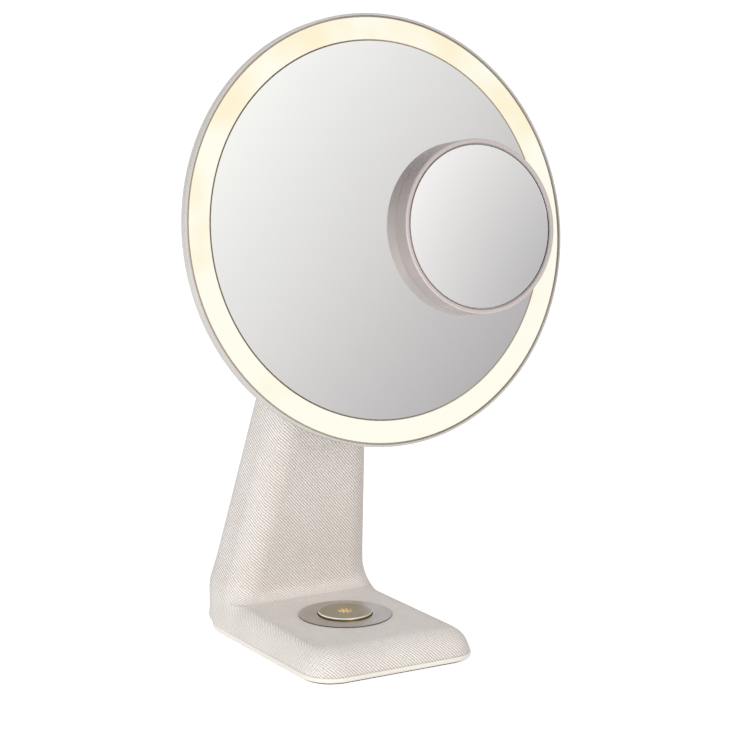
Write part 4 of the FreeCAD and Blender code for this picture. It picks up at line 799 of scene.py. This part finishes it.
# Near black on the lip's inner wall: a painted shade in the gap at the glass's edge.
painted_shade_wall = blend_colour(tree, lip, srgb(26, 24, 24), srgb(194, 185, 184))
feed(tree, slots["Base Color"], blend_colour(tree, silver, painted_shade_wall, srgb(250, 250, 250)))
feed(tree, slots["Roughness"], mirror_gloss(tree, silver, 0.4))
print("finish:", hollow.name)

# %% Helper for turned pieces
TURNS = 256
across_axis = Vector((1, 0, 0))
up_axis = head_facing.cross(across_axis)


def turned(name, profile, ends, finish):
    """A profile of (radius, height) turned about the magnifier's axis, closed at its ends or on itself."""
    points = []
    for r, h in profile:
        for k in range(TURNS):
            a = 2 * math.pi * k / TURNS
            round_axis = across_axis * r * math.cos(a) + up_axis * r * math.sin(a)
            points.append(glass_middle + round_axis + head_facing * h)
    rings = range(len(profile) - 1) if ends else range(len(profile))
    faces = []
    for ring in rings:
        a, b = ring * TURNS, (ring + 1) % len(profile) * TURNS
        faces += [(a + k, b + k, b + (k + 1) % TURNS, a + (k + 1) % TURNS) for k in range(TURNS)]
    for height, start, flip in ends:
        points.append(glass_middle + head_facing * height)
        fan = [(len(points) - 1, start + k, start + (k + 1) % TURNS) for k in range(TURNS)]
        faces += [tuple(reversed(f)) for f in fan] if flip else fan
    return make_piece(name, points, faces, finish, sharp_from=25)


print("steps in a turn:", TURNS)

# %% Turn the magnifier's glass
GLASS_CURVE = 0.4
PROFILE_STEPS = 48
WALL_RISE, LIP_RISE = 0.0009, 0.001
LIP_ROUND, LIP_WIDTH = 0.0001, 0.0003
LIP_FOOT = 0.0008
ARRIS = 0.0002
silver_radius = glass_radius - WALL_FOOT


def hollow_at(r):
    """Height of the ground face at a distance from the axis."""
    at_edge = math.sqrt(GLASS_CURVE ** 2 - silver_radius ** 2)
    return glass_rim + at_edge - math.sqrt(GLASS_CURVE ** 2 - r ** 2)


ground = [silver_radius * k / PROFILE_STEPS for k in range(1, PROFILE_STEPS + 1)]
profile = [(r, hollow_at(r)) for r in ground]
profile += [(glass_radius, glass_rim + WALL_RISE), (glass_radius + LIP_ROUND, glass_rim + LIP_RISE)]
lip_radius = glass_radius + LIP_WIDTH
profile += [(lip_radius, glass_rim + WALL_RISE), (lip_radius, glass_rim - LIP_FOOT)]
profile += [(glass_radius, glass_rim - LIP_RISE), (glass_radius, glass_back + ARRIS)]
profile += [(glass_radius - ARRIS, glass_back), (glass_radius / 2, glass_back)]
back_start = (len(profile) - 1) * TURNS
glass_ends = [(hollow_at(0.0), 0, False), (glass_back, back_start, True)]
glass = turned("hollow_mirror", profile, glass_ends, hollow)
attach(glass, "magnifier")
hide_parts("magnifier_glass")
print("hollow glass faces:", len(glass.data.polygons))

# %% [markdown]
# The housing ends in a thin skirt that stands just clear of the flat mirror and hides the soft pad and
# the magnets behind it. On the real piece it is the turned lip of the housing's back edge.

# %% Skirt of the magnifier's housing
SKIRT_GAP = 0.00003
SKIRT_WALL = 0.0012
SKIRT_PROUD = 0.00005
SKIRT_ROUND = 0.0001
outer = housing_radius + SKIRT_PROUD
eased = housing_radius - SKIRT_ROUND
inner = housing_radius - SKIRT_WALL
skirt_foot = flat_front + SKIRT_GAP
skirt_top = housing_back + SKIRT_WALL
skirt_profile = [(eased, skirt_foot), (outer, skirt_foot + SKIRT_GAP), (outer, skirt_top)]
skirt_profile += [(eased, skirt_top + 2 * SKIRT_ROUND), (inner, housing_back + SKIRT_WALL / 2)]
skirt_profile += [(inner, skirt_foot)]
skirt = turned("housing_skirt", skirt_profile, [], finishes["housing_metal"])
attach(skirt, "magnifier")
print("skirt faces:", len(skirt.data.polygons))

# %% [markdown]
# Under the button a coil spring pushes it up again. A stiff coil would dip into the floor of its housing
# when the button goes down. The wire is wound again here as a mesh in place of the solid spring; this
# script ties it to neither the stand nor the button.

# %% Wind the return spring
WIRE = 0.0004
WINDINGS = 2.5
WIRE_STEPS, WIRE_SIDES = 200, 12
spring_low, spring_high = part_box("return_spring")
spring_middle = (spring_low + spring_high) / 2
coil_radius = (spring_high.x - spring_low.x) / 2 - WIRE
coil_rise = spring_high.z - spring_low.z - 2 * WIRE
coil_points = []
for k in range(WIRE_STEPS + 1):
    a = 2 * math.pi * WINDINGS * k / WIRE_STEPS
    for side in range(WIRE_SIDES):
        t = 2 * math.pi * side / WIRE_SIDES
        r = coil_radius + WIRE * math.cos(t)
        z = spring_low.z + WIRE + coil_rise * k / WIRE_STEPS + WIRE * math.sin(t)
        coil_points.append((spring_middle.x + r * math.cos(a), spring_middle.y + r * math.sin(a), z))
wire_end = WIRE_STEPS * WIRE_SIDES
coil_faces = [tuple(range(WIRE_SIDES)), tuple(wire_end + s for s in reversed(range(WIRE_SIDES)))]
for a in range(0, wire_end, WIRE_SIDES):
    b = a + WIRE_SIDES
    coil_faces += [(a + s, b + s, b + (s + 1) % WIRE_SIDES, a + (s + 1) % WIRE_SIDES)
                   for s in range(WIRE_SIDES)]
print("wire of the spring, faces:", len(coil_faces))

# %% Make the spring and hide the solid
coil = make_piece("return_coil", coil_points, coil_faces, finishes["steel"], sharp_from=50)
clean_mesh(coil.data)
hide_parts("return_spring")
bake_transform(coil)
print("spring height, mm:", round((spring_high.z - spring_low.z) * 1000, 2))

# %% [markdown]
# The stage is a white sweep: a pale floor that keeps the shadow and reads as white to the camera. A large
# soft lamp at the left front models the forms, a weaker warm one lights the front, and a faint one the
# right. An even sky fills the shade, at a level where a colour renders about as it is written.

# %% Floor
SQUARE = ((-1, -1), (1, -1), (1, 1), (-1, 1))
FLOOR_HALF = 12.0
PAPER = 0.82
PAPER_GLOW = 0.6


def bare_material(name):
    material = bpy.data.materials.new(name)
    material.use_nodes = True
    material.node_tree.nodes.clear()
    return material, material.node_tree


paper, tree = bare_material("floor_paper")
matt = add(tree, "ShaderNodeBsdfDiffuse")
matt.inputs["Color"].default_value = (PAPER, PAPER, PAPER, 1)
shine = add(tree, "ShaderNodeEmission")
path = add(tree, "ShaderNodeLightPath").outputs
seen = calc(tree, "MAXIMUM", path["Is Camera Ray"],
            calc(tree, "MAXIMUM", path["Is Glossy Ray"], path["Is Transmission Ray"]))
feed(tree, shine.inputs["Strength"], calc(tree, "MULTIPLY", seen, PAPER_GLOW))
both = add(tree, "ShaderNodeAddShader")
tree.links.new(matt.outputs[0], both.inputs[0])
tree.links.new(shine.outputs[0], both.inputs[1])
tree.links.new(both.outputs[0], add(tree, "ShaderNodeOutputMaterial").inputs["Surface"])
floor = make_piece("floor", [(a * FLOOR_HALF, b * FLOOR_HALF, 0) for a, b in SQUARE], [(0, 1, 2, 3)], paper)
print("floor placed")

# %% Sky
SKY_LEVEL = 0.55
SKY_SHINE = 0.25
world = bpy.data.worlds.new("studio")
scene.world = world
world.use_nodes = True
tree = world.node_tree
tree.nodes.clear()
path = add(tree, "ShaderNodeLightPath").outputs
seen = calc(tree, "MAXIMUM", path["Is Camera Ray"], path["Is Transmission Ray"])
level = calc(tree, "ADD", SKY_LEVEL, calc(tree, "MULTIPLY", path["Is Glossy Ray"], SKY_SHINE))
sky = add(tree, "ShaderNodeBackground")
sky.inputs["Color"].default_value = (1, 1, 1, 1)
feed(tree, sky.inputs["Strength"], calc(tree, "MAXIMUM", seen, level))
tree.links.new(sky.outputs[0], add(tree, "ShaderNodeOutputWorld").inputs["Surface"])
print("sky ready")

# %% Lamps
def lamp(name, place, target, size, power, in_mirror=True, colour=(1.0, 1.0, 1.0)):
    light = bpy.data.lights.new(name, "AREA")
    light.color = colour
    light.shape = "DISK"
    light.size = size
    light.energy = power
    holder = bpy.data.objects.new(name, light)
    holder.location = place
    holder.rotation_euler = (Vector(place) - Vector(target)).to_track_quat("Z", "Y").to_euler()
    holder.visible_glossy = in_mirror
    scene.collection.objects.link(holder)


lamp("key_lamp", (-2.3, -1.5, 1.1), (0, 0, 0.15), 1.5, 43, in_mirror=False)
lamp("front_lamp", (-0.2, -2.4, 0.4), (0, 0, 0.15), 1.3, 10, colour=(1.0, 0.92, 0.82))
lamp("fill_lamp", (2.2, -1.2, 1.2), (0, 0, 0.2), 1.8, 8, in_mirror=False)
print("lamps placed")

# %% [markdown]
# The mirrors need something to show, so a grey card with a slow gradient stands where the camera's look
# bounces to. It is a mesh with one soft-edged face that only reflections see. In the flat mirror it reads
# as a slow change from light at the upper left to grey at the lower right. The magnifier is hollow and
# turns its picture over, so the small part of the card that it looks at changes the other way. In the flat
# mirror that part is hidden behind the magnifier itself.

# %% Helpers for reflection cards
mirror_low, mirror_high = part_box("mirror_glass")
mirror_middle = (mirror_low + mirror_high) / 2


def card(name, way, distance, half):
    """A square that only reflections see: its node tree, and the distances across and up it."""
    middle = mirror_middle + way * distance
    right_way = Vector((0, 0, 1)).cross(way).normalized()
    up_way = way.cross(right_way)
    paint, tree = bare_material(name)
    corners = [middle + right_way * half * a + up_way * half * b for a, b in SQUARE]
    held = make_piece(name, corners, [(0, 1, 2, 3)], paint)
    for ray in ("camera", "diffuse", "shadow", "transmission", "volume_scatter"):
        setattr(held, "visible_" + ray, False)
    places = []
    for axis in (right_way, up_way):
        on_axis = vector_calc(tree, "DOT_PRODUCT", place_of(tree), axis)
        places.append(calc(tree, "SUBTRACT", on_axis, middle.dot(axis)))
    return tree, *places


def from_spot(tree, u, v, spot=(0, 0), size=(1, 1)):
    """The two distances from a spot on a card, in shares of a size, and the straight distance."""
    a = calc(tree, "DIVIDE", calc(tree, "SUBTRACT", u, spot[0]), size[0])
    b = calc(tree, "DIVIDE", calc(tree, "SUBTRACT", v, spot[1]), size[1])
    return a, b, vector_calc(tree, "LENGTH", pair(tree, a, b))


def card_finish(tree, colour, cover):
    shine = add(tree, "ShaderNodeEmission")
    feed(tree, shine.inputs["Color"], colour)
    fade = add(tree, "ShaderNodeMixShader")
    feed(tree, fade.inputs[0], cover)
    tree.links.new(add(tree, "ShaderNodeBsdfTransparent").outputs[0], fade.inputs[1])
    tree.links.new(shine.outputs[0], fade.inputs[2])
    tree.links.new(fade.outputs[0], add(tree, "ShaderNodeOutputMaterial").inputs["Surface"])


print("card helpers ready")

# %% Grey card
CARD_DISTANCE, CARD_HALF = 0.45, 0.25
CARD_FADE = (0.24, 0.17)
SLOPE_ACROSS, SLOPE_DOWN, SLOPE_REACH = 0.69, 0.724, 0.15
HOLLOW_SPOT = (0.067, -0.011)
HOLLOW_VIEW, HOLLOW_PATCH = (0.047, 0.021), (0.056, 0.050)
HOLLOW_SLOPE = 0.30
to_camera = (camera.matrix_world.translation - mirror_middle).normalized()
bounce = (2 * to_camera.dot(head_facing) * head_facing - to_camera).normalized()
tree, u, v = card("grey_card", bounce, CARD_DISTANCE, CARD_HALF)
slope = calc(tree, "SUBTRACT", calc(tree, "MULTIPLY", u, SLOPE_ACROSS),
             calc(tree, "MULTIPLY", v, SLOPE_DOWN))
flat_part = ramp(tree, slope, -SLOPE_REACH, SLOPE_REACH, shape="LINEAR")
flat_colour = blend_colour(tree, flat_part, srgb(251, 251, 249), srgb(178, 175, 176))
a, b = from_spot(tree, u, v, HOLLOW_SPOT, HOLLOW_VIEW)[:2]
hollow_part = calc(tree, "MULTIPLY_ADD", calc(tree, "SUBTRACT", a, b), HOLLOW_SLOPE, 0.5)
hollow_colour = blend_colour(tree, hollow_part, srgb(190, 188, 189), srgb(250, 249, 247))
patch = ramp(tree, from_spot(tree, u, v, HOLLOW_SPOT, HOLLOW_PATCH)[2], 1.0, 0.85)
grey = blend_colour(tree, patch, flat_colour, hollow_colour)
card_finish(tree, grey, ramp(tree, from_spot(tree, u, v)[2], *CARD_FADE))
print("grey card towards", [round(c, 3) for c in bounce])

# %% [markdown]
# Polished metal needs something dark to reflect too, or the control plate would look like white paper. A
# dark soft-edged flag, again seen only by reflections, hangs above the front.

# %% Dark flag above the front
FLAG_DISTANCE, FLAG_HALF = 0.9, 0.4
FLAG_FADE = (0.38, 0.18)
flag_way = Vector((-0.03, -0.763, 0.646)).normalized()
tree, u, v = card("dark_flag", flag_way, FLAG_DISTANCE, FLAG_HALF)
shade = ramp(tree, noise(tree, place_of(tree), 3.0), 0.2, 0.8)
dark = blend_colour(tree, shade, srgb(84, 80, 78), srgb(104, 99, 96))
card_finish(tree, dark, ramp(tree, from_spot(tree, u, v)[2], *FLAG_FADE))
print("flag towards", [round(c, 3) for c in flag_way])
